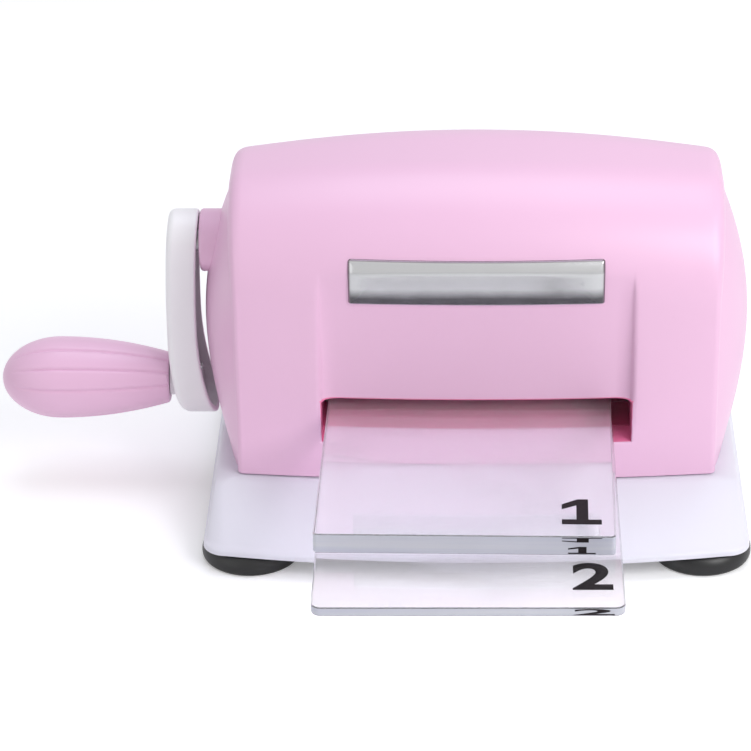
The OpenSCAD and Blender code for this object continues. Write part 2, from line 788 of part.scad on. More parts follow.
module crank_arm() {
    r = arm_w / 2;
    color(white) difference() {
        union() {
            difference() {
                intersection() {
                    arm_outline(r);
                    arm_band(arm_rim, arm_face, arm_w + 2);
                }
                intersection() {
                    arm_outline(r - arm_wall);
                    arm_band(arm_rim - 8, arm_face - arm_wall, arm_w);
                }
            }
            bar_x(shaft_d / 2 + 3, -arm_face + 0.5, -arm_rim - 0.3, 0, crank_z);
            bar_x(spindle_d / 2 + 3.5, -spot_face, -spindle_seat, 0, handle_z);
            translate([-arm_face + 1.2, -0.8, handle_z]) cube([arm_t - 4, 1.6, crank_r]);
        }
        bar_x(arm_screw_r + 0.2, -arm_face - 1, -arm_face + arm_pocket, 0, crank_z);
        bar_x(2.7, -arm_face - 1, -arm_rim, 0, crank_z);
        d_bar_x(shaft_d / 2 + push_fit, -shaft_end - 0.1, -arm_rim + 1, crank_z);
        bar_x(spindle_d / 2 + push_fit, -arm_face - 1, -spindle_seat + 1, 0, handle_z);
        bar_x(handle_end_d / 2 + 0.6, -arm_face - 2, -spot_face, 0, handle_z);
    }
}

module crank_screw() {
    color(steel) difference() {
        union() {
            bar_x(arm_screw_r, -arm_face + 0.3, -arm_face + arm_pocket, 0, crank_z);
            bar_x(2.5, -arm_face + arm_pocket, -shaft_end + 9, 0, crank_z);
        }
        along_x(-arm_face - 1, 0, crank_z) cylinder(r = 2, h = 2.8, $fn = 6);
    }
}

// Spindle with a round head inside the arm and a bulb that keeps the handle on
module handle_spindle() {
    r = spindle_d / 2;
    color(steel) union() {
        bar_x(r + 2, -spindle_seat, -spindle_seat + 2, 0, handle_z);
        bar_x(r, -spindle_end + 3, -spindle_seat, 0, handle_z);
        bar_x(r + 0.5, -spindle_end, -spindle_end + 3, 0, handle_z);
    }
}

module handle_collar() {
    color(white) tube_x(spindle_d / 2 + 3, spindle_d / 2 + push_fit,
                        -spot_face - collar_t, -spot_face, 0, handle_z);
}

// Radius of the handle at a distance along it from the arm
function handle_radius(s) =
    let (full = handle_l - tip_l, big = handle_d / 2, drop = big - handle_end_d / 2)
    s < full ? big - drop * pow((full - s) / full, 2)
             : big * sqrt(max(0, 1 - pow((s - full) / tip_l, 2)));

// Handle with grooves along it and a bore for its spindle
module crank_handle() {
    lip = 0.8;
    rise = [for (i = [0:12]) (handle_l - tip_l) * i / 12];
    round = [for (a = [9:9:90]) handle_l - tip_l + tip_l * sin(a)];
    profile = concat([[0, 0], [handle_radius(0) - lip, 0]],
                     [for (s = concat([lip], [for (i = [1:12]) rise[i]], round)) [handle_radius(s), s]]);
    groove = [for (s = concat([3], [for (i = [1:12]) rise[i]], [for (a = [9:9:72]) handle_l - tip_l + tip_l * sin(a)]))
              [handle_radius(s), s]];
    depth = 0.5;
    r = spindle_d / 2;
    color(pink) translate([-handle_start, 0, handle_z]) rotate([0, -90, 0]) difference() {
        rotate_extrude() polygon(profile);
        for (i = [0:flutes - 1])
            rotate(360 * (i + 0.5) / flutes) rotate([90, 0, 0])
                translate([0, 0, -0.4]) linear_extrude(0.8)
                    polygon(concat([for (p = groove) p - [depth, 0]],
                                   [for (j = [len(groove) - 1:-1:0]) groove[j] + [2, 0]]));
        translate([0, 0, -1]) cylinder(r = r + run_fit, h = spindle_end - handle_start - 2);
        translate([0, 0, spindle_end - handle_start - 3.2]) cylinder(r = r + 0.6, h = 4);
    }
}

// ---------- screws ----------

module cover_screws() {
    color(steel) for (sx = [-1, 1], sy = [-1, 1])
        translate([sx * cover_post[0], sy * cover_post[1], base_top_z - base_wall]) screw_up(14);
}

module base_plate_screws() {
    color(steel) for (sx = [-1, 1], sy = [-1, 1])
        translate([sx * sheet_screw[0], sy * sheet_screw[1], cup_h]) screw_up(8);
}

module frame_screws() {
    color(steel) for (sx = [-1, 1], y = foot_places)
        translate([sx * (frame_out + foot_w / 2), y, cup_h]) screw_up(plate_sheet_t + foot_t);
}

module tie_rod_screws() {
    color(steel) for (side = [-1, 1], p = rod_places)
        translate([side * frame_out, p[0], p[1]]) rotate([0, -side * 90, 0]) screw_up(12);
}

module end_cover_screws() {
    color(steel) for (side = [-1, 1], p = post_places)
        translate([side * frame_in, p[0], p[1]]) rotate([0, side * 90, 0]) screw_up(14);
}

// ---------- cutting plates ----------

module cutting_plate_thin() {
    color(acrylic) translate([plate_shift, plate_l / 2 - thin_out, feed_z])
        round_box(thin_w, plate_l, thin_t, 3);
}

module cutting_plate_thick() {
    color(acrylic) translate([plate_shift, plate_l / 2 - thick_out, thick_z])
        rotate(plate_skew) round_box(thick_w, plate_l, thick_t, 1.5);
}

base_shell();
base_plate();
suction_cup_front_left();
suction_cup_front_right();
suction_cup_rear_left();
suction_cup_rear_right();
side_frame_left();
side_frame_right();
tie_rod_lower_front();
tie_rod_lower_rear();
tie_rod_upper_front();
tie_rod_upper_rear();
bush_lower_left();
bush_lower_right();
bush_upper_left();
bush_upper_right();
crank_bush_inner();
crank_bush_outer();
lower_roller();
lower_roller_clips();
upper_roller();
upper_roller_clips();
sync_gear_lower();
sync_gear_upper();
drive_gear();
crank_pinion();
crank_shaft();
crank_shaft_clip();
crank_arm();
crank_screw();
handle_spindle();
handle_collar();
crank_handle();
center_cover();
end_cover_left();
end_cover_right();
label_plate();
cover_screws();
base_plate_screws();
frame_screws();
tie_rod_screws();
end_cover_screws();
cutting_plate_thin();
cutting_plate_thick();
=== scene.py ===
"""Die cutting machine: the finished look of every piece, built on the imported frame.

Lengths in the sections are in millimetres in the machine's own frame (X right, Y to the rear,
Z up, origin on the table between the suction cups), and each mesh is written in metres.
"""

import math

import bmesh
import bpy
import numpy as np
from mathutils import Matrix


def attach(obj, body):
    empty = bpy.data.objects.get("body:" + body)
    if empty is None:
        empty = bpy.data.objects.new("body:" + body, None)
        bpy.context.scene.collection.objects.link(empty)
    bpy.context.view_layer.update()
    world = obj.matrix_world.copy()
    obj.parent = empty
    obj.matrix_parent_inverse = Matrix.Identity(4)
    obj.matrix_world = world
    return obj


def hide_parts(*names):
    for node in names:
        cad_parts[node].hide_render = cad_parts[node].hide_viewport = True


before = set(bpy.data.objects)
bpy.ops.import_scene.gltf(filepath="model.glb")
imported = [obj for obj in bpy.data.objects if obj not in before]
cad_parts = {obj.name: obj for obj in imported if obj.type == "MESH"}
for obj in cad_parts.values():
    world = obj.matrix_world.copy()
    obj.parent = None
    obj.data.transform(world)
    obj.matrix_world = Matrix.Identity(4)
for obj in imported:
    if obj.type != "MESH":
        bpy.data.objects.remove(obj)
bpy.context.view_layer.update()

# ---------- camera ----------
# A long lens in front of the machine, 28 degrees above the table and square to its front. The
# machine stands right of the view's middle, so the lens is shifted and the camera isn't turned.
view_px, focal_px, axis_px = 751, 3260, 101
look_down, camera_back, camera_high = math.radians(28.25), 0.9802, 0.5644
camera_data = bpy.data.cameras.new("front_view")
camera_data.sensor_width = 36
camera_data.lens = focal_px / view_px * camera_data.sensor_width
camera_data.shift_x = -axis_px / view_px
camera = bpy.data.objects.new("front_view", camera_data)
camera.location = (0, -camera_back, camera_high)
camera.rotation_euler = (math.pi / 2 - look_down, 0, 0)
bpy.context.collection.objects.link(camera)
bpy.context.scene.camera = camera

# ---------- table and light ----------
# A white table that runs out of sight under a white room. A large soft box stands at the upper
# right, a weaker one fills the left and a third hangs overhead.
bpy.context.scene.view_settings.view_transform = "Standard"
table_half = 3.0
table_mesh = bpy.data.meshes.new("table")
table_mesh.from_pydata(
    [(-table_half, -table_half, 0), (table_half, -table_half, 0),
     (table_half, table_half, 0), (-table_half, table_half, 0)], [], [(0, 1, 2, 3)])
table = bpy.data.objects.new("table", table_mesh)
bpy.context.collection.objects.link(table)


def set_inputs(tree, node, inputs):
    """Sets a node's inputs, each to a value or to what another node puts out."""
    for name, value in inputs.items():
        if isinstance(value, bpy.types.NodeSocket):
            tree.links.new(value, node.inputs[name])
        else:
            node.inputs[name].default_value = value
    return node


def add_node(tree, kind, inputs):
    """New shader node with its inputs set."""
    return set_inputs(tree, tree.nodes.new("ShaderNode" + kind), inputs)


def calculate(tree, operation, first, second=0.0):
    """Result of a calculation with two outputs or numbers."""
    step = add_node(tree, "Math", {0: first, 1: second})
    step.operation = operation
    return step.outputs[0]


def new_finish(name, inputs):
    """Material, its node tree and its surface with the inputs set."""
    finish = bpy.data.materials.new(name)
    finish.use_nodes = True
    tree = finish.node_tree
    return finish, tree, set_inputs(tree, tree.nodes["Principled BSDF"], inputs)


def seen_directly(tree):
    """1 for a ray from the camera, off gloss or through clear plastic; 0 for soft light."""
    path = add_node(tree, "LightPath", {})
    total = path.outputs["Is Camera Ray"]
    for name in ("Is Glossy Ray", "Is Transmission Ray"):
        total = calculate(tree, "MAXIMUM", total, path.outputs[name])
    return total


table_glow, room_soft, room_seen = 0.20, 0.52, 1.0
table_white, tree, surface = new_finish("table_white", {
    "Base Color": (0.95, 0.95, 0.96, 1), "Roughness": 0.9, "Specular IOR Level": 0.0,
    "Emission Color": (1, 1, 1, 1)})
set_inputs(tree, surface, {
    "Emission Strength": calculate(tree, "MULTIPLY", seen_directly(tree), table_glow)})
table_mesh.materials.append(table_white)

room = bpy.data.worlds.new("white_room")
bpy.context.scene.world = room
room.use_nodes = True
tree = room.node_tree
level = add_node(tree, "MapRange", {
    "Value": seen_directly(tree), "To Min": room_soft, "To Max": room_seen})
set_inputs(tree, tree.nodes["Background"], {
    "Color": (1, 1, 1, 1), "Strength": level.outputs["Result"]})


def soft_box(name, place, aim, size, watts, colour=(1, 1, 1)):
    """Square area lamp at place, turned towards aim."""
    lamp = bpy.data.lights.new(name, "AREA")
    lamp.shape = "SQUARE"
    lamp.color = colour
    lamp.size = size
    lamp.energy = watts
    holder = bpy.data.objects.new(name, lamp)
    holder.location = place
    away = np.subtract(place, aim)
    holder.rotation_euler = (math.atan2(math.hypot(away[0], away[1]), away[2]), 0,
                             math.atan2(away[0], -away[1]))
    bpy.context.collection.objects.link(holder)


soft_box("key_box", (0.44, -0.44, 0.50), (0, 0, 0.06), 0.40, 3.0)
soft_box("fill_box", (-0.95, -0.80, 0.45), (0, 0, 0.05), 0.8, 1.2)
soft_box("top_box", (0.05, 0.25, 1.25), (0, 0, 0.1), 0.8, 4.8, (0.93, 1.0, 1.10))

# ---------- base shell ----------
# A hollow tray of white moulded plastic. Its rim is bowed in front and behind, its front and rear
# slope up to the housing, and an open well in its middle lets the mechanism stand on a sheet.
base_half_w, base_half_d, base_bow, base_corner = 90.0, 74.0, 7.0, 8.0
base_foot_z, base_rim_z, base_shoulder_z, base_top_z = 6.5, 8.7, 18.4, 20.8
shoulder_half_w, top_half_w, top_half_d, top_bow = 87.5, 81.2, 43.6, 4.2
well_half_w, well_half_d = 70.0, 29.0
base_wall, base_floor_z, rim_edge = 2.5, 8.0, 1.2


def bowed_outline(half_w, half_d, bow, corner):
    """Closed outline of a rectangle whose front and rear are parabolas that stand out by bow at
    their middle, with quarter circles at its corners, from the left end of the front."""
    flat_w, flat_d = half_w - corner, half_d - bow - corner
    across = np.linspace(-1, 1, 25)
    side = np.linspace(-flat_d, flat_d, 25)[1:-1]
    turn = np.radians(np.linspace(-90, 90, 21))
    round_x, round_y = flat_w + corner * np.cos(turn), corner * np.sin(turn)
    half = np.concatenate([
        np.stack([across * flat_w, -(half_d - bow * across ** 2)], 1),
        np.stack([round_x, round_y - flat_d], 1)[1:11],
        np.stack([np.full(len(side), half_w), side], 1),
        np.stack([round_x, round_y + flat_d], 1)[10:-1]])
    return np.concatenate([half, -half])


def raised(outline, height):
    """Level loop of points at one height."""
    return np.column_stack([outline, np.full(len(outline), float(height))])


def skin_of_loops(loops, first="open", last="open"):
    """Points and quads of a skin carried through closed loops that hold the same number of points.
    An end is open, is closed by a fan to its mean point, or is joined round to the first loop."""
    loops = np.asarray(loops, float)
    count, around = loops.shape[:2]
    points = loops.reshape(-1, 3)
    k = np.arange(count if last == "first" else count - 1)[:, None] * around
    i = np.arange(around)[None, :]
    j = (i + 1) % around
    up = (k + around) % (count * around)
    faces = np.stack([k + i, k + j, up + j, up + i], -1).reshape(-1, 4).tolist()
    for end, rim in ((first, 0), (last, (count - 1) * around)):
        if end == "fan":
            pole = np.full(around, len(points))
            points = np.vstack([points, points[rim:rim + around].mean(0)])
            faces += np.stack([rim + i[0], rim + j[0], pole], -1).tolist()
    return points, faces


def put_down(name, mesh, body, stands_for=()):
    """Object of a finished mesh, with the body it rides on and the nodes it replaces."""
    piece = bpy.data.objects.new(name, mesh)
    bpy.context.collection.objects.link(piece)
    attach(piece, body)
    if stands_for:
        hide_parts(*stands_for)
    return piece


def make_piece(name, shells, finish, body, stands_for=(), crease=35.0):
    """One object from closed shells given in millimetres: its doubled points are joined, its faces
    turned outwards, and edges sharper than the crease angle kept sharp."""
    form = bmesh.new()
    for points, faces in shells:
        shell = bpy.data.meshes.new("shell")
        shell.from_pydata(np.asarray(points) * 0.001, [], faces)
        form.from_mesh(shell)
        bpy.data.meshes.remove(shell)
    bmesh.ops.remove_doubles(form, verts=form.verts, dist=1e-7)
    bmesh.ops.dissolve_degenerate(form, edges=form.edges, dist=1e-7)
    bmesh.ops.recalc_face_normals(form, faces=form.faces)
    mesh = bpy.data.meshes.new(name)
    form.to_mesh(mesh)
    form.free()
    mesh.shade_smooth()
    mesh.set_sharp_from_angle(angle=math.radians(crease))
    mesh.materials.append(finish)
    return put_down(name, mesh, body, stands_for)


def new_group(name, inputs, outputs):
    """Node group with the named inputs at their usual values, and the named outputs. A colour goes
    in and out as Colour, and everything else is a number."""
    group = bpy.data.node_groups.new(name, "ShaderNodeTree")
    for way, labels in (("INPUT", inputs), ("OUTPUT", outputs)):
        for label in labels:
            kind = "NodeSocketColor" if label == "Colour" else "NodeSocketFloat"
            socket = group.interface.new_socket(label, in_out=way, socket_type=kind)
            if way == "INPUT":
                socket.default_value = inputs[label]
    return group, group.nodes.new("NodeGroupInput"), group.nodes.new("NodeGroupOutput")


def object_place(tree):
    """Place in the piece's own coordinates."""
    return add_node(tree, "TexCoord", {}).outputs["Object"]


def noise(tree, at, scale, detail=2.0):
    """Smooth random value about a half at a place."""
    return add_node(tree, "TexNoise", {
        "Vector": at, "Scale": scale, "Detail": detail}).outputs["Fac"]


def swing(tree, value, amount):
    """How far a value stands from a half, times the amount."""
    return calculate(tree, "MULTIPLY", calculate(tree, "SUBTRACT", value, 0.5), amount)


# Moulded skin: a fine satin grain, a faint cloudiness of the colour where the plastic flowed, and
# a little more polish where hands rub it.
moulded_skin, given, put = new_group(
    "moulded_skin", {"Colour": (0.8, 0.8, 0.8, 1), "Cloud": 0.02, "Polish": 0.4},
    ["Colour", "Roughness", "Height"])
grain_scale, flow_scale, rub_scale, rub_share = 2600, 22, 60, 0.10
place = object_place(moulded_skin)
cloud = swing(moulded_skin, noise(moulded_skin, place, flow_scale, 3), given.outputs["Cloud"])
worn = swing(moulded_skin, noise(moulded_skin, place, rub_scale, 4), rub_share)
tint = add_node(moulded_skin, "HueSaturation", {
    "Color": given.outputs["Colour"], "Value": calculate(moulded_skin, "ADD", cloud, 1.0)})
set_inputs(moulded_skin, put, {
    "Colour": tint.outputs["Color"],
    "Roughness": calculate(moulded_skin, "ADD", worn, given.outputs["Polish"]),
    "Height": noise(moulded_skin, place, grain_scale)})


def put_on(tree, surface, group, inputs, depth):
    """Lets a group set the surface's roughness and raise it by up to depth."""
    skin = add_node(tree, "Group", {})
    skin.node_tree = group
    set_inputs(tree, skin, inputs)
    bump = add_node(tree, "Bump", {"Height": skin.outputs["Height"], "Distance": depth})
    set_inputs(tree, surface, {
        "Roughness": skin.outputs["Roughness"], "Normal": bump.outputs["Normal"]})
    return skin


def moulded_plastic(name, colour, polish, grain_depth=0.00001, cloud_share=0.03):
    """Opaque plastic or rubber with the moulded skin on it."""
    finish, tree, surface = new_finish(name, {})
    skin = put_on(tree, surface, moulded_skin, {
        "Colour": (*colour, 1), "Cloud": cloud_share, "Polish": polish}, grain_depth)
    set_inputs(tree, surface, {"Base Color": skin.outputs["Colour"]})
    return finish


base_white = moulded_plastic("base_white", (0.74, 0.73, 0.81), 0.38)


def base_loop(half_w, half_d, z, inset=0.0):
    """Loop of the base at height z whose bow and corners shrink from the rim to the top."""
    share = np.clip((z - base_rim_z) / (base_top_z - base_rim_z), 0, 1)
    bow = base_bow + (top_bow - base_bow) * share
    corner = base_corner + (3.0 - base_corner) * share
    return raised(bowed_outline(half_w - inset, half_d - inset, bow,
                                max(corner - inset, 0.6)), z)


def base_rows(inset):
    """Loops of the base's outside from its foot to its top: upright rim, rounded rim edge, slopes
    that run straight in front and fall gently at the sides, rounded shoulder, flat top."""
    rows = [base_loop(base_half_w, base_half_d, base_foot_z, inset),
            base_loop(base_half_w, base_half_d, base_rim_z - rim_edge, inset)]
    for turn in np.radians(np.linspace(15, 75, 5)):
        rows.append(base_loop(base_half_w - 0.8 * (1 - np.cos(turn)),
                              base_half_d - 0.9 * (1 - np.cos(turn)),
                              base_rim_z - rim_edge + rim_edge * np.sin(turn), inset))
    for share in np.linspace(0.02, 0.985, 22):
        z = base_rim_z + (base_top_z - base_rim_z) * share
        low, high = base_rim_z, base_shoulder_z
        if z < high:
            half_w = base_half_w - 0.9 + (shoulder_half_w - base_half_w + 0.9) * (
                (z - low) / (high - low))
        else:
            fall = (z - high) / (base_top_z - high)
            half_w = top_half_w + (shoulder_half_w - top_half_w) * np.sqrt(1 - fall ** 2)
        half_d = base_half_d - 1.0 + (top_half_d - base_half_d + 1.0) * share
        rows.append(base_loop(half_w, half_d, z, inset))
    return rows


outside = base_rows(0.0)
well = raised(bowed_outline(well_half_w, well_half_d, 0.2, 1.5), base_top_z)
top_edge = base_loop(top_half_w - 0.6, top_half_d - 0.5, base_top_z)
inside = [np.column_stack([row[:, :2], np.minimum(row[:, 2], base_top_z - base_wall)])
          for row in base_rows(base_wall)[::-1]]
well_low = well - [0, 0, base_top_z - base_floor_z]
well_out = raised(bowed_outline(well_half_w + 2.2, well_half_d + 2.2, 0.2, 3.0), base_floor_z)
well_under = well_out + [0, 0, base_top_z - base_wall - base_floor_z]
base_skin = skin_of_loops(
    outside + [top_edge, well, well_low, well_out, well_under] + inside, last="first")


def slab(low, high):
    """Closed box between two corners."""
    x, y, z = zip(low, high)
    points = [(a, b, c) for a in x for b in y for c in z]
    faces = [(0, 1, 3, 2), (4, 6, 7, 5), (0, 4, 5, 1), (2, 3, 7, 6), (0, 2, 6, 4), (1, 5, 7, 3)]
    return np.array(points, float), faces


ribs = []
for x in (-54, -27, 0, 27, 54):
    for side in (-1, 1):
        for half_t, reach, low, high in ((0.9, 52.0, 8.2, 14.0), (0.85, 44.0, 13.5, 18.0)):
            near, far = sorted((side * (well_half_d + 1.5), side * reach))
            ribs.append(slab((x - half_t, near, low), (x + half_t, far, high)))
make_piece("base_tray", [base_skin] + ribs, base_white, "machine", ["base_shell"])

# ---------- suction cups ----------
# Four cups of black rubber, each turned in one piece with a thin hollow lip and a stem that snaps
# up through the base.
cup_x, cup_y = 74.5, 53.2


def turned(profile, around=96, axis="z", centre=(0.0, 0.0), ends=("fan", "fan"), ripple=None):
    """Skin of revolution: each (radius, height) of the profile gives a circle round the axis. The
    axis is z with centre (x, y), or x with centre (y, z)."""
    profile = np.asarray(profile, float)
    angle = np.linspace(0, 2 * np.pi, around, endpoint=False)
    radius = profile[:, :1] * np.ones(around)
    if ripple is not None:
        radius = radius + ripple(profile[:, 1:2], angle[None, :])
    a = radius * np.cos(angle) + centre[0]
    b = radius * np.sin(angle) + centre[1]
    h = profile[:, 1:2] * np.ones(around)
    loops = np.stack([a, b, h] if axis == "z" else [h, a, b], -1)
    return skin_of_loops(loops, *ends)


def smooth_curve(knots, count):
    """Points along a curve through the knots, its two coordinates eased by cubic Hermite arcs
    whose tangents join each knot's neighbours."""
    knots = np.asarray(knots, float)
    slope = np.gradient(knots, axis=0)
    at = np.linspace(0, len(knots) - 1, count)
    k = np.minimum(at.astype(int), len(knots) - 2)
    t = (at - k)[:, None]
    return ((2 * t ** 3 - 3 * t ** 2 + 1) * knots[k] + (t ** 3 - 2 * t ** 2 + t) * slope[k]
            + (3 * t ** 2 - 2 * t ** 3) * knots[k + 1] + (t ** 3 - t ** 2) * slope[k + 1])


cup_rubber = moulded_plastic("cup_rubber", (0.004, 0.004, 0.0045), 0.40, 0.00002, 0.3)
under_cup = smooth_curve([(0.01, 2.6), (4, 2.55), (8, 2.2), (12.3, 1.1), (14.1, 0.05)], 24)
over_cup = smooth_curve([(15.5, 0.0), (16.2, 0.5), (16.5, 1.7), (16.35, 3.2), (15.8, 4.6),
                         (14.9, 5.7), (13.6, 6.35), (12.2, 6.5)], 36)
stem = np.array([(4.0, 6.5), (4.0, 9.1), (4.8, 9.2), (4.9, 9.7), (3.6, 10.9), (0.01, 11.0)])
cup_profile = np.concatenate([under_cup, over_cup, stem])
for side, side_name in ((-1, "left"), (1, "right")):
    for end, end_name in ((-1, "front"), (1, "rear")):
        name = f"suction_cup_{end_name}_{side_name}"
        make_piece("rubber_" + name[8:], [turned(cup_profile, centre=(side * cup_x, end * cup_y))],
                   cup_rubber, "machine", [name])

# ---------- sheet, frames, rods and screws ----------
# The mechanism stands on a zinc plated sheet in the base's well. Two pressed side frames carry the
# rollers and the crank shaft, and turned rods hold them apart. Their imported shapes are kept.

# Machined metal: tool marks that run round or along the piece, and a slight change of polish.
machined_metal, given, put = new_group(
    "machined_metal", {"Spacing": 3000.0, "Polish": 0.3, "Spread": 0.1}, ["Roughness", "Height"])
place = object_place(machined_metal)
along = add_node(machined_metal, "SeparateXYZ", {0: place}).outputs["X"]
marks = machined_metal.nodes.new("ShaderNodeTexNoise")
marks.noise_dimensions = "1D"
set_inputs(machined_metal, marks, {
    "Detail": 3, "W": calculate(machined_metal, "MULTIPLY", along, given.outputs["Spacing"])})
stain = swing(machined_metal, noise(machined_metal, place, 90, 4), given.outputs["Spread"])
set_inputs(machined_metal, put, {
    "Roughness": calculate(machined_metal, "ADD", stain, given.outputs["Polish"]),
    "Height": marks.outputs["Fac"]})


def metal_finish(name, colour, polish, spacing, spread=0.15, depth=0.00001):
    """Bare metal with the machined marks on it."""
    finish, tree, surface = new_finish(name, {"Base Color": (*colour, 1), "Metallic": 1.0})
    put_on(tree, surface, machined_metal, {
        "Spacing": spacing, "Polish": polish, "Spread": spread}, depth)
    return finish


def give_finish(finish, *nodes):
    """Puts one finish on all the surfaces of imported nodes."""
    for node in nodes:
        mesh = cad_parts[node].data
        mesh.materials.clear()
        mesh.materials.append(finish)


zinc_sheet = metal_finish("zinc_sheet", (0.60, 0.61, 0.63), 0.42, 400, 0.3, 0.000005)
bright_steel = metal_finish("bright_steel", (0.62, 0.62, 0.63), 0.27, 6000)
give_finish(zinc_sheet, "base_plate", "side_frame_left", "side_frame_right")
give_finish(bright_steel, "tie_rod_lower_front", "tie_rod_lower_rear", "tie_rod_upper_front",
            "tie_rod_upper_rear", "cover_screws", "base_plate_screws", "frame_screws",
            "tie_rod_screws", "end_cover_screws")

# ---------- bushes ----------
# Flanged bushes of oil-filled sintered bronze carry the rollers and the crank shaft. They are
# pressed into the side frames and the left end's boss.
sintered_bronze = metal_finish("sintered_bronze", (0.55, 0.38, 0.18), 0.45, 900, 0.3)
give_finish(sintered_bronze, "bush_lower_left", "bush_lower_right", "bush_upper_left",
            "bush_upper_right", "crank_bush_inner", "crank_bush_outer")

# ---------- rollers and gears ----------
# Two turned steel rollers with clips on their journals, turned together by hobbed gears of natural
# nylon from the pinion on the crank shaft.
nylon = moulded_plastic("natural_nylon", (0.74, 0.71, 0.62), 0.5, 0.00002, 0.06)
give_finish(bright_steel, "lower_roller", "upper_roller", "lower_roller_clips",
            "upper_roller_clips", "crank_shaft", "crank_shaft_clip")
give_finish(nylon, "sync_gear_lower", "sync_gear_upper", "drive_gear", "crank_pinion")

# ---------- middle cover ----------
# The pink housing over the rollers: an arch with a crowned front and top, moulded in one piece. A
# panel leans inwards down to the feed slot, front and rear, between concave side walls, and a
# short lining runs in from the slot's edges.
cover_half_w, cover_half_d, cover_top = 79.6, 42.5, 122.4
front_crown, top_crown, end_corner, shoulder_r = 4.2, 5.1, 4.5, 34.0
cover_wall, cover_rim, face_end_z, wall_end_x = 2.8, 2.0, 79.0, 76.0
hollow_from, hollow_wide, edge_to, edge_share = 45.6, 5.4, 52.9, 0.30
slot_half_w, slot_low, slot_high, slot_deep, slot_round = 51.2, 34.6, 49.0, 13.0, 0.6
hole_half_w, hole_low, hole_high = (
    slot_half_w + slot_round, slot_low - slot_round, slot_high + slot_round)
panel_low, panel_top_z, panel_round, panel_stop = 38.5, 97.5, 0.03, 14.0
seam_z, lean_from, lean_over, end_lean, lean_power = 21.4, 84.0, 34.0, 2.3, 7
pink_plastic = moulded_plastic("pink_plastic", (0.78, 0.485, 0.675), 0.36)
# Painted shade: the slot's lining is a darker, deeper rose copy of the pink, and the feed guides
# behind it a darker one still, standing in for the shade inside the slot
lining_painted_shade = moulded_plastic("lining_painted_shade", (0.86, 0.21, 0.41), 0.40)
guide_painted_shade = moulded_plastic("guide_painted_shade", (0.60, 0.09, 0.22), 0.45)


def crown_at(x):
    """How far the front is drawn back at x: a parabola that reaches front_crown at the ends."""
    return front_crown * (x / cover_half_w) ** 2


def top_at(x):
    """Height of the cover's top at x: a parabola that is top_crown lower at the ends, and a
    quarter circle of radius end_corner that rounds off each end."""
    run = np.clip(np.abs(x) - cover_half_w + end_corner, 0, end_corner)
    return (cover_top - top_crown * (x / cover_half_w) ** 2
            - end_corner + np.sqrt(end_corner ** 2 - run ** 2))


def panel_depth(z):
    """Half depth of the leaning panel at height z, on the middle line: a straight line from its
    depth over the slot to where it meets the round shoulder."""
    meet = cover_half_d - shoulder_r + math.sqrt(
        shoulder_r ** 2 - (panel_top_z - cover_top + shoulder_r) ** 2)
    return panel_low + (meet - panel_low) * (z - slot_high) / (panel_top_z - slot_high)


def panel_share(x):
    """How much of the panel's depth shows at x: all of it in the middle, falling on a quarter
    ellipse in the concave side wall, then easing out over the rounded edge outside it."""
    away = np.abs(x) - hollow_from
    into = np.clip(away / hollow_wide, 0, 1)
    hollow = edge_share + (1 - edge_share) * np.sqrt(1 - into ** 2)
    out = np.clip((away - hollow_wide) / (edge_to - hollow_from - hollow_wide), 0, 1)
    return np.where(away < hollow_wide, hollow, edge_share * (1 - out) ** 2)


def set_back(x, z, depth, on_face):
    """How far the panel draws the front in at x and z. Over the slot it is the gap between the
    cover's own depth and the panel's, rounded where they meet; beside the slot it fades out
    towards the slot's foot, and under the slot there is none."""
    gap = depth - (panel_depth(np.maximum(z, slot_high)) - crown_at(x))
    amount = (0.5 * (gap + np.sqrt(gap ** 2 + 4 * panel_round))
              - panel_round / np.maximum(np.abs(gap), 0.25))
    fade = np.clip((z - slot_low) / (slot_high - slot_low), 0, 1)
    beside = np.abs(x) > slot_half_w
    return on_face * panel_share(x) * np.maximum(amount, 0) * np.where(beside, fade, fade > 0.5)


# Stations across the cover, closer together in the panel's side walls and round the end rims
hollow_turn = np.radians(np.linspace(0, 88, 16))
half_stations = np.concatenate([
    np.linspace(0, 44, 23), hollow_from + hollow_wide * np.sin(hollow_turn),
    [hole_half_w, 52.3, edge_to, 54.5, 58, 62, 66, 70, 73, 75, 75.8, 76.5, 77.1]])
station_inset = np.zeros(len(half_stations))
rim_turn = np.radians(np.linspace(0, 90, 10))
half_stations = np.concatenate([half_stations,
                                cover_half_w - cover_rim + cover_rim * np.sin(rim_turn)])
station_inset = np.concatenate([station_inset, cover_rim * (1 - np.cos(rim_turn))])
stations = np.concatenate([-half_stations[:0:-1], half_stations])
station_inset = np.concatenate([station_inset[:0:-1], station_inset])
face_z = np.concatenate([[seam_z, 21.7, 22.2, 24, 27, 30.5, 33],
                         np.linspace(hole_low, hole_high, 13),
                         [52, 54, 57, 61, 65, 70, 75, face_end_z]])
arc_turn = np.radians(np.linspace(0, 90, 31))


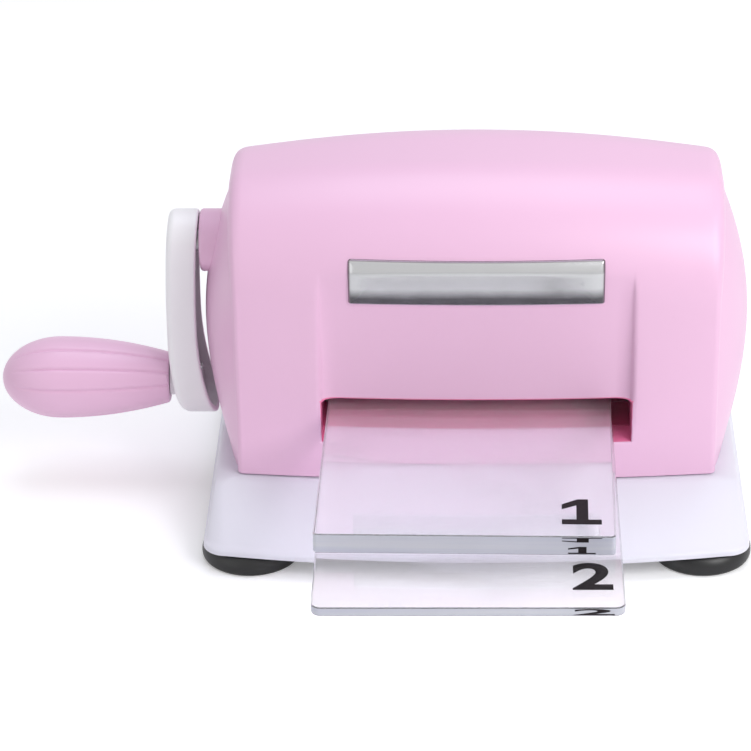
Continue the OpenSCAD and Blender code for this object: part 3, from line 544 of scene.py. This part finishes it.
def cover_skin(inset, x, z_face):
    """Grid of points of the arch, drawn inwards by inset. Along the first way it steps across the
    cover; along the second it climbs the front, turns over the shoulder and goes down the rear.
    Each end leans out by up to end_lean, evenly with the height over lean_from. From 88 to 98 mm
    the inner side comes to follow the panel's shape a wall's thickness higher up."""
    x = x[:, None]
    inset = np.reshape(inset, (-1, 1))
    depth = cover_half_d - crown_at(x) - inset
    top = top_at(x) - inset
    r = shoulder_r - inset
    z_low = np.broadcast_to(z_face[None, :], (len(x), len(z_face)))
    y_low = np.broadcast_to(depth, z_low.shape)
    z_arc = top - r + r * np.sin(arc_turn)
    y_arc = depth - r + r * np.cos(arc_turn)
    z = np.concatenate([z_low, z_arc], 1)
    y = np.concatenate([y_low, y_arc], 1)
    seen_z = z + inset * np.clip((z - 88) / 10, 0, 1)
    y = y - set_back(x, seen_z, y + inset, z < cover_top - panel_stop)
    lean = end_lean * np.clip((z - lean_from) / lean_over, 0, 1) * (x / cover_half_w) ** lean_power
    front = np.stack([x + lean, -y, z], -1)
    middle = front[:, -1:] * [1, 0, 1]
    rear = front[:, ::-1] * [1, -1, 1]
    return np.concatenate([front, middle, rear], 1)


def opened_out(x, inner, outer, span):
    """Moves values so that inner lies at outer, while 0 and span stay where they are."""
    return np.sign(x) * np.interp(np.abs(x), [0, inner, span], [0, outer, span])


outer_skin = cover_skin(station_inset, stations, face_z)
inner_x = opened_out(stations, hole_half_w, slot_half_w + cover_wall, wall_end_x)
inner_z = np.interp(face_z, [seam_z, hole_low, hole_high, face_end_z],
                    [seam_z, slot_low - cover_wall, slot_high + cover_wall, face_end_z])
inner_skin = cover_skin(np.full(len(stations), cover_wall), inner_x, inner_z)
columns, rows = outer_skin.shape[:2]
hole_columns = [int(np.argmin(np.abs(stations - x))) for x in (-hole_half_w, hole_half_w)]
hole_rows = [int(np.argmin(np.abs(face_z - z))) for z in (hole_low, hole_high)]
rear_rows = (rows - 1 - hole_rows[1], rows - 1 - hole_rows[0])


def holed_faces(offset):
    """Quads of the cover's grid without those over the two slots."""
    a, b = np.meshgrid(np.arange(columns - 1), np.arange(rows - 1), indexing="ij")
    in_slot = (a >= hole_columns[0]) & (a < hole_columns[1]) & (
        ((b >= hole_rows[0]) & (b < hole_rows[1])) | ((b >= rear_rows[0]) & (b < rear_rows[1])))
    a, b = a[~in_slot], b[~in_slot]
    corner = a * rows + b
    return (np.stack([corner, corner + rows, corner + rows + 1, corner + 1], -1)
            + offset).tolist()


def ring_of(column_pair, row_pair):
    """Numbers of the grid's points round a block of cells, in order."""
    c0, c1 = column_pair
    r0, r1 = row_pair
    ring = [(c, r0) for c in range(c0, c1)] + [(c1, r) for r in range(r0, r1)]
    ring += [(c, r1) for c in range(c1, c0, -1)] + [(c0, r) for r in range(r1, r0, -1)]
    return np.array([c * rows + r for c, r in ring])


def joined(one, other):
    """Quads between two rings of point numbers."""
    return np.stack([one, np.roll(one, -1), np.roll(other, -1), other], -1).tolist()


cover_points = [outer_skin.reshape(-1, 3), inner_skin.reshape(-1, 3)]
cover_faces = holed_faces(0) + holed_faces(columns * rows)
outline = ring_of((0, columns - 1), (0, rows - 1))
cover_faces += joined(outline, outline + columns * rows)
for side, row_pair in ((-1, hole_rows), (1, rear_rows)):
    ring = ring_of(hole_columns, row_pair)
    edge = cover_points[0][ring]
    inner_edge = cover_points[1][ring]
    middle_z = (slot_low + slot_high) / 2
    lining = edge.copy()
    lining[:, 0] *= slot_half_w / hole_half_w
    lining[:, 2] = middle_z + (edge[:, 2] - middle_z) * (slot_high - slot_low) / (
        hole_high - hole_low)
    loops = []
    for turn in np.radians((20, 40, 60, 80, 90)):
        loop = edge + (lining - edge) * np.sin(turn)
        loop[:, 1] = edge[:, 1] - side * slot_round * (1 - np.cos(turn))
        loops.append(loop)
    inner_end = side * (cover_half_d - slot_deep)
    for y_share in (0.25, 0.5, 0.75, 1.0):
        loop = loops[4].copy()
        loop[:, 1] += (inner_end - loop[:, 1]) * y_share
        loops.append(loop)
    back = inner_edge.copy()
    back[:, 1] = inner_end
    loops.append(back)
    numbers = ring
    for loop in loops:
        start = sum(len(p) for p in cover_points)
        cover_points.append(loop)
        fresh = start + np.arange(len(ring))
        cover_faces += joined(numbers, fresh)
        numbers = fresh
    cover_faces += joined(numbers, ring + columns * rows)
cover = make_piece("middle_cover", [(np.concatenate(cover_points), cover_faces)], pink_plastic,
                   "machine", ["center_cover"], crease=50)
cover.data.materials.append(lining_painted_shade)
# Faces inside the slot's lining take the darker copy of the pink: painted shade
for face in cover.data.polygons:
    x, y, z = (1000 * value for value in face.center)
    if (abs(x) < slot_half_w + 0.5 and slot_low - 0.5 < z < slot_high + 0.5
            and abs(y) < cover_half_d - crown_at(x) - 0.5):
        face.material_index = 1

# ---------- feed guides ----------
# A pink channel on each side of the rollers leads the plates from the slot's lining to the nip. It
# is a four-sided sleeve of moulded plastic with fine bevels where the plates enter and leave.
guide_near, guide_far, guide_wall, guide_half_w, guide_bevel = 12.5, 29.2, 1.2, 52.9, 0.3


def square_loop(half_w, low, high, y):
    """Upright rectangle of four points at y, with points halfway along its long sides."""
    return [(-half_w, y, low), (0, y, low), (half_w, y, low), (half_w, y, high), (0, y, high),
            (-half_w, y, high)]


for side, name in ((-1, "feed_guide_front"), (1, "feed_guide_rear")):
    guide_loops = [
        square_loop(guide_half_w - inset, slot_low - guide_wall + inset,
                    slot_high + guide_wall - inset, side * y)
        for y, inset in ((guide_near, guide_bevel), (guide_near + guide_bevel, 0.0),
                         (guide_far, 0.0))]
    guide_loops += [
        square_loop(slot_half_w + inset, slot_low - inset, slot_high + inset, side * y)
        for y, inset in ((guide_far, guide_bevel), (guide_far - guide_bevel, 0.0),
                         (guide_near + guide_bevel, 0.0), (guide_near, guide_bevel))]
    # The guides' dark rose is painted shade deep inside the slot, not the plastic's own pink
    make_piece(name, [skin_of_loops(guide_loops, last="first")], guide_painted_shade, "machine")

# ---------- end covers ----------
# A shallow pillow of the same pink plastic closes each end. It fits inside the middle cover's rim
# and is screwed to posts behind it. The left one carries the boss for the crank shaft.
end_half_d, end_top, end_r = 35.5, 110.0, 31.2
dome_base_x, dome_rise, dome_middle_z, dome_low_fall, dome_high_fall = 79.0, 12.2, 63.0, 57.0, 50.9
skirt_x, dome_centre_z, dome_wall = 73.6, 60.0, 2.6


def end_half_depth(z, inset=0.0):
    """Half depth of the end opening at height z: upright sides under a round shoulder."""
    d, r = end_half_d - inset, end_r - inset
    rise = np.clip(z - (end_top - end_r), 0, r)
    return d - r + np.sqrt(np.maximum(r ** 2 - rise ** 2, 0))


def dome_x(y, z, inset=0.0):
    """Distance of the pillow's face from the middle: its height falls as a square with the height
    above or below dome_middle_z, and across as a square with the share of the half depth."""
    fall = np.where(z < dome_middle_z, dome_low_fall, dome_high_fall)
    rise = dome_rise * (1 - ((z - dome_middle_z) / fall) ** 2)
    share = np.clip(y / np.maximum(end_half_depth(z, inset), 1e-6), -1, 1)
    return dome_base_x - inset + rise * (1 - share ** 2)


def end_outline(inset):
    """Loop of (y, z) round the opening: foot, one side, shoulder and top, and back down."""
    z_side = np.linspace(base_top_z, end_top - end_r, 20)[:-1]
    turn = np.radians(np.linspace(0, 90, 26))
    r = end_r - inset
    side_y = np.concatenate([np.full(len(z_side), end_half_d - inset),
                             end_half_d - end_r + r * np.cos(turn)])
    side_z = np.concatenate([z_side, end_top - end_r + r * np.sin(turn)])
    foot_y = np.linspace(-(end_half_d - inset), end_half_d - inset, 26)[1:-1]
    top_y = np.linspace(end_half_d - end_r, -(end_half_d - end_r), 8)[1:-1]
    y = np.concatenate([foot_y, side_y, top_y, -side_y[::-1]])
    z = np.concatenate([np.full(len(foot_y), base_top_z), side_z,
                        np.full(len(top_y), end_top - inset), side_z[::-1]])
    return y, z


def dome_loops(inset, shares):
    """Loops of the pillow's face, from the middle to its edge, on scaled copies of its outline."""
    y, z = end_outline(inset)
    loops = []
    for share in shares:
        ys, zs = y * share, dome_centre_z + (z - dome_centre_z) * share
        loops.append(np.stack([dome_x(ys, zs, inset), ys, zs], -1))
    return loops


outer_shares = np.concatenate([np.linspace(0.02, 0.9, 26), [0.93, 0.95, 0.97, 0.985, 1.0]])
face_loops = dome_loops(0.0, outer_shares)
skirt = face_loops[-1].copy()
skirt[:, 0] = skirt_x
wall_loops = dome_loops(dome_wall, outer_shares[::-1])
skirt_in = wall_loops[0].copy()
skirt_in[:, 0] = skirt_x
dome_shell = skin_of_loops(face_loops + [skirt, skirt_in] + wall_loops, "fan", "fan")
make_piece("end_pillow_right", [dome_shell], pink_plastic, "machine",
           ["end_cover_right"], crease=50)

crank_z, hub_r, hub_start, hub_end, bush_r = 89.2, 10.5, 76.0, 92.0, 7.05
boss_profile = [(bush_r, -hub_start), (hub_r, -hub_start), (hub_r, -hub_end + 1.0),
                (hub_r - 0.25, -hub_end + 0.35), (hub_r - 0.8, -hub_end),
                (bush_r + 0.3, -hub_end), (bush_r, -hub_end + 0.3)]
boss = turned(boss_profile, 128, "x", (0, crank_z), ("open", "first"))
left_dome = (dome_shell[0] * [-1, 1, 1], dome_shell[1])
make_piece("end_pillow_left", [left_dome, boss], pink_plastic, "machine",
           ["end_cover_left"], crease=50)

# ---------- label ----------
# A strip of silver foil under a domed skin of clear resin, stuck on the panel above the slot. It is
# left bare.
label_half_w, label_low, label_high = 41.5, 85.3, 101.0


def rounded_loop(half_w, half_h, corner):
    """Rectangle with quarter-circle corners, the same number of points whatever its size."""
    a, b = half_w - corner, half_h - corner
    turn = np.radians(np.linspace(0, 90, 7))
    across, up = np.linspace(-a, a, 80)[1:-1], np.linspace(-b, b, 20)[1:-1]
    parts = []
    for k, (centre, side) in enumerate((((a, -b), (half_w, up)), ((a, b), (-across, half_h)),
                                        ((-a, b), (-half_w, -up)), ((-a, -b), (across, -half_h)))):
        round_turn = turn + (k - 1) * np.pi / 2
        parts.append(centre + corner * np.stack([np.cos(round_turn), np.sin(round_turn)], 1))
        parts.append(np.stack(np.broadcast_arrays(*side), 1))
    return np.concatenate(parts)


def on_panel(x, z, lift):
    """Point of the cover's front at x and z, lifted off it by lift."""
    r = shoulder_r + lift
    rise = np.clip(z - top_at(x) + shoulder_r, 0, r)
    depth = cover_half_d - crown_at(x) - shoulder_r + np.sqrt(r ** 2 - rise ** 2)
    panel = panel_depth(z) + lift - crown_at(x)
    return np.stack([x, -np.minimum(depth, panel), z], -1)


label_mid, label_half_h = (label_low + label_high) / 2, (label_high - label_low) / 2
label_loops = []
for inset, lift in [(label_half_h - 0.001, 1.30), (6.4, 1.30), (5.5, 1.29), (4.5, 1.28),
                    (3.6, 1.26), (2.8, 1.22), (2.1, 1.16), (1.5, 1.07), (1.0, 0.95), (0.6, 0.80),
                    (0.3, 0.62), (0.1, 0.42), (0.0, 0.22), (0.0, 0.06), (3.0, 0.06),
                    (label_half_h - 0.001, 0.06)]:
    loop = rounded_loop(label_half_w - inset, label_half_h - inset, max(1.0 - inset, 0.0005))
    label_loops.append(on_panel(loop[:, 0], label_mid + loop[:, 1], lift))


def blended(tree, factor, start, finish):
    """Colour that goes from start to finish, which are colours or outputs, with the factor."""
    blend = tree.nodes.new("ShaderNodeMix")
    blend.data_type = "RGBA"
    set_inputs(tree, blend, {"Factor": factor, 6: start, 7: finish})
    return blend.outputs[2]


def ramp_between(tree, value, low, high):
    """0 below low, 1 above high and a straight line between them."""
    return add_node(tree, "MapRange", {
        "Value": value, "From Min": low * 0.001, "From Max": high * 0.001}).outputs["Result"]


# The foil's grey, with painted reflections on it: a dark band of reflected shade that fades in
# towards the lower edge with a soft waviness, painted dark reflections at the resin's ends and top
# edge, and a painted highlight along its foot.
silver_label, tree, surface = new_finish("silver_label", {
    "Metallic": 0.85, "Coat Weight": 1.0, "Coat Roughness": 0.03})
brushed = add_node(tree, "Group", {})
brushed.node_tree = machined_metal
set_inputs(tree, brushed, {"Spacing": 1500, "Polish": 0.24, "Spread": 0.12})
foil_painted_reflection, foil_grey = (0.045, 0.042, 0.050, 1), (0.50, 0.50, 0.51, 1)
painted_dark_reflection, painted_highlight = (0.13, 0.085, 0.115, 1), (0.75, 0.74, 0.78, 1)
band_low, band_high, wave = 0.17, 0.40, 0.002
place = object_place(tree)
at = add_node(tree, "SeparateXYZ", {0: place})
label_tall = label_high - label_low
painted_reflection_band = ramp_between(
    tree, calculate(tree, "ADD", at.outputs["Z"], swing(tree, noise(tree, place, 60), wave)),
    label_low + band_low * label_tall, label_low + band_high * label_tall)
# Painted dark reflections at the resin's ends and along its top edge
ends = ramp_between(tree, calculate(tree, "ABSOLUTE", at.outputs["X"]),
                    label_half_w - 0.9, label_half_w - 0.3)
upper = ramp_between(tree, at.outputs["Z"], label_high - 0.5, label_high - 0.2)
# Painted highlight along the resin's foot
foot = ramp_between(tree, at.outputs["Z"], label_low + 0.7, label_low + 0.3)
with_painted_reflections = blended(tree, calculate(tree, "MAXIMUM", ends, upper),
                blended(tree, painted_reflection_band, foil_painted_reflection, foil_grey), painted_dark_reflection)
set_inputs(tree, surface, {"Roughness": brushed.outputs["Roughness"],
                           "Base Color": blended(tree, foot, with_painted_reflections, painted_highlight)})
make_piece("foil_label", [skin_of_loops(label_loops, "fan", "fan")], silver_label, "machine",
           ["label_plate"], crease=60)

# ---------- crank arm ----------
# A hollow bar of white plastic that widens from its hub to its round foot, open towards the
# machine. It leans in a little at the hub and bends in at the foot, and a rib runs along its
# hollow between two round bosses.
handle_z, arm_top_r, arm_low_r = 37.2, 10.5, 11.8
arm_face, arm_thick, arm_wall = -103.9, 10.0, 2.2
arm_bend_z, arm_bend_r, rim_bend_z, rim_bend_r = 55.2, 105.0, 60.2, 105.0
arm_lean_z, arm_lean_r = 62.2, 440.0
screw_seat_r, screw_seat_deep = 5.6, 2.6


def bent_in(z, start, radius):
    """How far a face has bent towards the machine at z: an arc from start downwards, and a
    shallow parabola above the height where the lean begins."""
    below = np.clip(start - z, 0, None)
    above = np.clip(z - arm_lean_z, 0, None)
    return radius - np.sqrt(radius ** 2 - below ** 2) + above ** 2 / (2 * arm_lean_r)


def arm_points(ring, depth):
    """Points of the arm over a ring of (y, z), at depth from its outer face towards its rim."""
    y, z = np.moveaxis(np.asarray(ring), -1, 0)
    outer = arm_face + bent_in(z, arm_bend_z, arm_bend_r)
    rim = arm_face + arm_thick + bent_in(z, rim_bend_z, rim_bend_r)
    return np.stack([outer + (rim - outer) * depth / arm_thick, y, z], -1)


def arm_outline(inset):
    """Loop of (y, z) of a tapering bar with round ends, drawn inwards by inset, from the left of
    its top. The straight sides touch both circles."""
    tilt = math.degrees(math.asin((arm_low_r - arm_top_r) / (crank_z - handle_z)))
    ends = []
    for r, z, start, end in ((arm_top_r, crank_z, 180 - tilt, tilt),
                             (arm_low_r, handle_z, tilt, -180 - tilt)):
        turn = np.radians(np.linspace(start, end, 41))
        r = max(r - inset, 0.01)
        ends.append(np.stack([r * np.cos(turn), z + r * np.sin(turn)], 1))
    top, foot = ends
    share = np.linspace(0, 1, 41)[1:-1, None]
    return np.concatenate([top, top[-1] + (foot[0] - top[-1]) * share, foot,
                           foot[-1] + (top[0] - foot[-1]) * share])


edge_r, rim_edge_r, floor_deep = 2.3, 0.9, screw_seat_deep + 1.2
hub = [0, crank_z]
full = arm_outline(0.0)
seat_angle = np.unwrap(np.arctan2(full[:, 0], full[:, 1] - crank_z))
seat = np.stack([screw_seat_r * np.sin(seat_angle), crank_z + screw_seat_r * np.cos(seat_angle)], 1)
# The screw's seat, the outer face, its rounded edge, the side and the rim's outer edge
arm_rings = [(hub + (seat - hub) * share, depth) for share, depth in (
    (0.02, screw_seat_deep), (0.5, screw_seat_deep), (1.0, screw_seat_deep), (1.0, 0.3),
    (1.05, 0.0))]
arm_rings += [(seat + (arm_outline(edge_r) - seat) * share, 0.0)
              for share in np.linspace(0.08, 1, 22)]
arm_rings += [(arm_outline(edge_r * (1 - np.sin(turn))), edge_r * (1 - np.cos(turn)))
              for turn in np.radians(np.linspace(15, 90, 6))]
arm_rings += [(full, depth) for depth in np.linspace(edge_r, arm_thick - rim_edge_r, 8)[1:]]
arm_rings += [(arm_outline(rim_edge_r * (1 - np.cos(turn))),
               arm_thick - rim_edge_r * (1 - np.sin(turn)))
              for turn in np.radians(np.linspace(22.5, 90, 4))]
# The rim's inner edge, the hollow's wall and round foot, and its floor
arm_rings += [(arm_outline(arm_wall + more), depth) for more, depth in (
    (-0.35, arm_thick), (-0.1, arm_thick - 0.1), (0.0, arm_thick - 0.4), (0.05, 7.0),
    (0.1, 5.4), (0.5, 4.2), (0.9, floor_deep))]
arm_rings += [(arm_outline(arm_low_r - (arm_low_r - arm_wall - 0.9) * share), floor_deep)
              for share in np.linspace(0.9, 0.0, 8)]
arm_skin = skin_of_loops([arm_points(*ring) for ring in arm_rings], "fan", "fan")
arm_white = moulded_plastic("arm_white", (0.88, 0.86, 0.89), 0.38)
shaft_boss = turned([(4.02, -101.0), (7.0, -101.0), (7.0, -95.2), (6.8, -95.0), (4.3, -95.0),
                     (4.02, -95.2)], 72, "x", (0, crank_z), ("open", "first"))
spindle_boss = turned([(0.01, -102.2), (6.3, -102.2), (6.5, -102.0), (6.5, -95.7), (6.3, -95.5),
                       (0.01, -95.5)], 72, "x", (0, handle_z), ("fan", "fan"))
rib_half_t, rib_near, rib_far, rib_low, rib_high = 0.8, 3.0, 6.6, handle_z + 4, crank_z - 5
rib_loops = []
for z in np.linspace(rib_low, rib_high, 24):
    near, far = (arm_points((0.0, z), depth)[0] for depth in (rib_near, rib_far))
    rib_loops.append([(near, -rib_half_t, z), (far, -rib_half_t, z), (far, rib_half_t, z),
                      (near, rib_half_t, z)])
arm_rib = skin_of_loops(rib_loops, "fan", "fan")
make_piece("crank_bar", [arm_skin, shaft_boss, spindle_boss, arm_rib], arm_white, "crank",
           ["crank_arm"], crease=40)
give_finish(bright_steel, "handle_spindle")
give_finish(arm_white, "handle_collar")
# A screw with a low round head and a socket lies in the arm's seat and holds it on the shaft
screw_profile = [(0.01, -90.4), (2.1, -90.4), (2.45, -90.8), (2.45, -100.4), (5.2, -100.4),
                 (5.4, -100.6), (5.4, -102.0), (5.2, -102.4), (4.6, -102.7), (3.4, -102.9),
                 (2.3, -102.95), (2.1, -102.8), (2.1, -101.3), (0.01, -101.0)]
make_piece("crank_bolt", [turned(screw_profile, 72, "x", (0, crank_z))], bright_steel, "crank",
           ["crank_screw"])

# ---------- handle ----------
# A pear-shaped grip of the same pink plastic that turns on a steel spindle. Three groups of three
# fine grooves run along it.
handle_start, handle_long, handle_r, handle_end_r, tip_long = -104.4, 57.2, 13.9, 8.5, 20.0
groove_deep, groove_half_w, groove_start, groove_stop, groove_fade = 0.6, 0.5, 0.3, 4.0, 9.0
bore_r, bore_end, lip_r = 3.03, -146.0, 0.8
groove_angles = np.radians([7.2 + 120 * k + 31 * i for k in range(3) for i in range(3)])


def grip_radius(s):
    """Radius at s from the arm: it swells as a square up to the widest place, and then closes on a
    quarter ellipse."""
    full = handle_long - tip_long
    swell = handle_r - (handle_r - handle_end_r) * ((full - s) / full) ** 2
    close = handle_r * np.sqrt(np.clip(1 - ((s - full) / tip_long) ** 2, 0, 1))
    return np.where(s < full, swell, close)


def grooves(x, angle):
    """Change of the grip's radius: a round valley along each groove's meridian that runs out
    before the tip."""
    s = handle_start - x
    radius = np.maximum(grip_radius(s), 1.0)
    around = angle[..., None] - (np.pi - groove_angles)
    around = (around + np.pi) % (2 * np.pi) - np.pi
    away = np.abs(around).min(-1) * radius
    valley = np.exp(-(away / groove_half_w) ** 2)
    ease = np.clip((handle_long - groove_stop - s) / groove_fade, 0, 1)
    return -groove_deep * valley * ease ** 0.5 * (s > groove_start)


lip = np.radians(np.linspace(0, 90, 5))
grip_s = np.concatenate([lip_r * (1 - np.cos(lip)),
                         np.linspace(2 * lip_r, handle_long - tip_long, 30),
                         handle_long - tip_long + tip_long * np.sin(np.radians(np.linspace(
                             4, 89.4, 32)))])
grip_r = grip_radius(grip_s)
grip_r[:len(lip)] -= lip_r * (1 - np.sin(lip))
bore = [(0.6, bore_end), (bore_r, bore_end), (bore_r, handle_start - 0.2), (3.3, handle_start)]
grip_profile = np.concatenate([bore, np.stack([grip_r, handle_start - grip_s], 1)])
make_piece("crank_grip", [turned(grip_profile, 320, "x", (0, handle_z), ("fan", "fan"), grooves)],
           pink_plastic, "handle", ["crank_handle"], crease=50)

# ---------- cutting plates ----------
# Two clear acrylic plates lie in the slot, a thick one on a thin one. Their sawn edges are polished
# and broken by a fine bevel, and use has clouded them with fine scratches.
plate_x, plate_half_l, feed_z = -2.5, 76.0, 36.0
thin_half_w, thin_t, thin_front = 47.5, 3.0, -150.0
thick_half_w, thick_t, thick_z, thick_front = 46.8, 6.8, 39.2, -119.5
thick_turn = math.radians(-1.0)

# Plate wear: long fine scratches in two directions, thicker where dies have pressed, and haze.
plate_wear, given, put = new_group(
    "plate_wear", {"Polish": 0.02, "Haze": 0.15}, ["Roughness", "Height"])
place = object_place(plate_wear)
scratch_half_w = 0.006
scratches = 0.0
for turn, stretch, scale in ((0.5, 26, 90), (-0.7, 30, 110), (1.45, 22, 70)):
    drawn_out = add_node(plate_wear, "Mapping", {
        "Vector": place, "Rotation": (0, 0, turn), "Scale": (1, stretch, 1)}).outputs[0]
    near = calculate(plate_wear, "ABSOLUTE", calculate(
        plate_wear, "SUBTRACT", noise(plate_wear, drawn_out, scale), 0.5))
    scratches = calculate(plate_wear, "MAXIMUM", scratches,
                          calculate(plate_wear, "LESS_THAN", near, scratch_half_w))
used = calculate(plate_wear, "MULTIPLY", calculate(plate_wear, "MAXIMUM", calculate(
    plate_wear, "SUBTRACT", noise(plate_wear, place, 28, 3), 0.42)), 4.0)
marks = calculate(plate_wear, "MULTIPLY", scratches, used)
clouded = calculate(plate_wear, "MULTIPLY", calculate(
    plate_wear, "ADD", marks, calculate(plate_wear, "MULTIPLY", used, 0.12)),
    given.outputs["Haze"])
set_inputs(plate_wear, put, {
    "Roughness": calculate(plate_wear, "ADD", clouded, given.outputs["Polish"]),
    "Height": marks})


def clear_plastic(name, colour, passed, haze):
    """Clear plastic with the wear on it, whose faces let through the share passed of a lamp's
    light."""
    finish, tree, surface = new_finish(name, {
        "Base Color": (*colour, 1), "Transmission Weight": 0.94, "IOR": 1.49})
    put_on(tree, surface, plate_wear, {"Polish": 0.02, "Haze": haze}, 0.000003)
    lets_light = add_node(tree, "BsdfTransparent", {"Color": (*passed, 1)})
    shade = add_node(tree, "MixShader", {
        0: add_node(tree, "LightPath", {}).outputs["Is Shadow Ray"],
        1: surface.outputs[0], 2: lets_light.outputs[0]})
    set_inputs(tree, tree.nodes["Material Output"], {"Surface": shade.outputs[0]})
    return finish


thin_clear = clear_plastic("thin_clear", (0.945, 0.930, 0.950), (0.86, 0.84, 0.87), 0.03)
thick_clear = clear_plastic("thick_clear", (0.990, 0.985, 0.998), (0.95, 0.94, 0.96), 0.01)
# The end of the thin plate that stands out in front is darker than the rest: painted shade,
# standing in for the plate's shadow on the table seen through it
tree = thin_clear.node_tree
along = add_node(tree, "SeparateXYZ", {0: object_place(tree)}).outputs["Y"]
shaded_front_end = ramp_between(tree, along, thick_front - 3, thick_front + 1)
set_inputs(tree, tree.nodes["Principled BSDF"], {"Base Color": blended(
    tree, shaded_front_end, (0.815, 0.800, 0.818, 1), (0.950, 0.935, 0.955, 1))})

# Sawn edge: less clear than the faces, with fine saw marks that run across it.
sawn_edge, tree, surface = new_finish("sawn_edge", {"Transmission Weight": 0.45, "IOR": 1.49})
put_on(tree, surface, machined_metal, {"Spacing": 900, "Polish": 0.16, "Spread": 0.12}, 0.00001)
layers = add_node(tree, "Mapping", {"Vector": object_place(tree), "Scale": (12, 12, 520)})
set_inputs(tree, surface, {"Base Color": blended(
    tree, noise(tree, layers.outputs[0], 1.0, 3), (0.70, 0.71, 0.92, 1), (0.96, 0.97, 1.0, 1))})


def acrylic_plate(name, finish, half_w, thick, corner, low_z, front, turn, body, node):
    """Flat plate with round corners and a fine bevel round both faces, turned about its middle."""
    bevel, inner = 0.35, 6.0
    low_half = [(inner, 0.0), (bevel, 0.0), (bevel * 0.3, bevel * 0.3), (0.0, bevel)]
    high_half = [(inset, thick - z) for inset, z in low_half[::-1]]
    loops = []
    for inset, z in low_half + [(0.0, thick / 2)] + high_half:
        loop = rounded_loop(half_w - inset, plate_half_l - inset, max(corner - inset, 0.3))
        x = loop[:, 0] * math.cos(turn) - loop[:, 1] * math.sin(turn) + plate_x
        y = loop[:, 0] * math.sin(turn) + loop[:, 1] * math.cos(turn) + front + plate_half_l
        loops.append(np.stack([x, y, np.full(len(x), low_z + z)], -1))
    plate = make_piece(name, [skin_of_loops(loops, "fan", "fan")], finish, body,
                       [node], crease=20)
    plate.data.materials.append(sawn_edge)
    for face in plate.data.polygons:
        face.material_index = int(abs(face.normal.z) < 0.3)


acrylic_plate("thin_acrylic", thin_clear, thin_half_w, thin_t, 3.0, feed_z, thin_front, 0.0,
              "thin_plate", "cutting_plate_thin")
acrylic_plate("thick_acrylic", thick_clear, thick_half_w, thick_t, 1.5, thick_z, thick_front,
              thick_turn, "thick_plate", "cutting_plate_thick")

# Plain numbers that tell the plates apart, printed in dark ink in the corner of each one.
ink_thick = 0.06
# Dark ink for the printed numbers and for their painted reflections in the plates' edges
print_and_reflection_ink, tree, surface = new_finish("print_and_reflection_ink", {"Roughness": 0.6, "Specular IOR Level": 0.15})
set_inputs(tree, surface, {"Base Color": blended(
    tree, noise(tree, object_place(tree), 900), (0.008, 0.006, 0.007, 1),
    (0.020, 0.015, 0.018, 1))})


def typed(text):
    """Flat outline of a text in the built-in typeface."""
    curve = bpy.data.curves.new("type", "FONT")
    curve.body = text
    curve.offset = 0.03
    loose = bpy.data.objects.new("type", curve)
    bpy.context.collection.objects.link(loose)
    bpy.context.view_layer.update()
    flat = bpy.data.meshes.new_from_object(
        loose.evaluated_get(bpy.context.evaluated_depsgraph_get()))
    bpy.data.objects.remove(loose)
    form = bmesh.new()
    form.from_mesh(flat)
    bpy.data.meshes.remove(flat)
    bmesh.ops.remove_doubles(form, verts=form.verts, dist=1e-5)
    return form


def drawn(points):
    """Flat outline through the points."""
    form = bmesh.new()
    form.faces.new([form.verts.new((x, y, 0)) for x, y in points])
    form.normal_update()
    bmesh.ops.triangulate(form, faces=form.faces[:])
    return form


def ink_number(name, form, width, tall, centre, level, turn, body, upright=False):
    """One thin numeral in dark ink of the given width and height. Printed, it lies at the height
    level with its middle at centre (x, y); as a painted reflection in a plate's edge it stands
    upright at the depth level with its middle at (x, z)."""
    raised_part = bmesh.ops.extrude_face_region(form, geom=form.faces[:])["geom"]
    bmesh.ops.translate(form, vec=(0, 0, 1), verts=[
        part for part in raised_part if isinstance(part, bmesh.types.BMVert)])
    bmesh.ops.recalc_face_normals(form, faces=form.faces)
    mesh = bpy.data.meshes.new(name)
    form.to_mesh(mesh)
    form.free()
    spots = np.zeros(3 * len(mesh.vertices))
    mesh.vertices.foreach_get("co", spots)
    spots = spots.reshape(-1, 3)
    low, high = spots.min(0), spots.max(0)
    unit = (spots - (low + high) / 2) / (high - low)
    x, y = unit[:, 0] * width + centre[0], unit[:, 1] * tall + centre[1]
    z = level + unit[:, 2] * ink_thick
    if upright:
        y, z = level - unit[:, 2] * ink_thick, y
    placed = np.stack([x * math.cos(turn) - y * math.sin(turn),
                       x * math.sin(turn) + y * math.cos(turn), z], 1)
    mesh.vertices.foreach_set("co", (placed * 0.001).ravel())
    mesh.materials.append(print_and_reflection_ink)
    put_down(name, mesh, body)


mark_wide, thick_mark_x, thin_mark_x = 12.4, 34.6, 35.4
figure_one = [(-6, -7.5), (6, -7.5), (6, -4.6), (2, -4.6), (2, 7.5), (-1.2, 7.5), (-6, 4.4),
              (-6, 1.4), (-1.6, 3.8), (-1.6, -4.6), (-6, -4.6)]
ink_number("number_thick", drawn(figure_one), mark_wide, 15.3, (thick_mark_x, -104.6),
               thick_z + thick_t, thick_turn, "thick_plate")
ink_number("number_thin", typed("2"), mark_wide, 15.6, (thin_mark_x, -132.0),
               feed_z + thin_t, 0.0, "thin_plate")
# Painted reflections: each number is drawn again in dark ink in its plate's front edge, squashed,
# standing in for the number's image seen through the edge, and upside down over that in the thick
# plate
thick_edge = ((thick_front + plate_half_l) * math.cos(thick_turn) - plate_half_l
              - plate_x * math.sin(thick_turn) + 0.02)
ink_number("painted_reflection_thick_low", drawn(figure_one), 8.6, 2.6, (thick_mark_x, thick_z + 1.8),
               thick_edge, thick_turn, "thick_plate", True)
ink_number("painted_reflection_thick_high", drawn([(x, -y) for x, y in figure_one[::-1]]), mark_wide, 1.7,
               (thick_mark_x, thick_z + 5.5), thick_edge, thick_turn, "thick_plate", True)
ink_number("painted_reflection_thin", typed("2"), mark_wide, 2.2, (thin_mark_x, feed_z + 1.5),
               thin_front + 0.02, 0.0, "thin_plate", True)
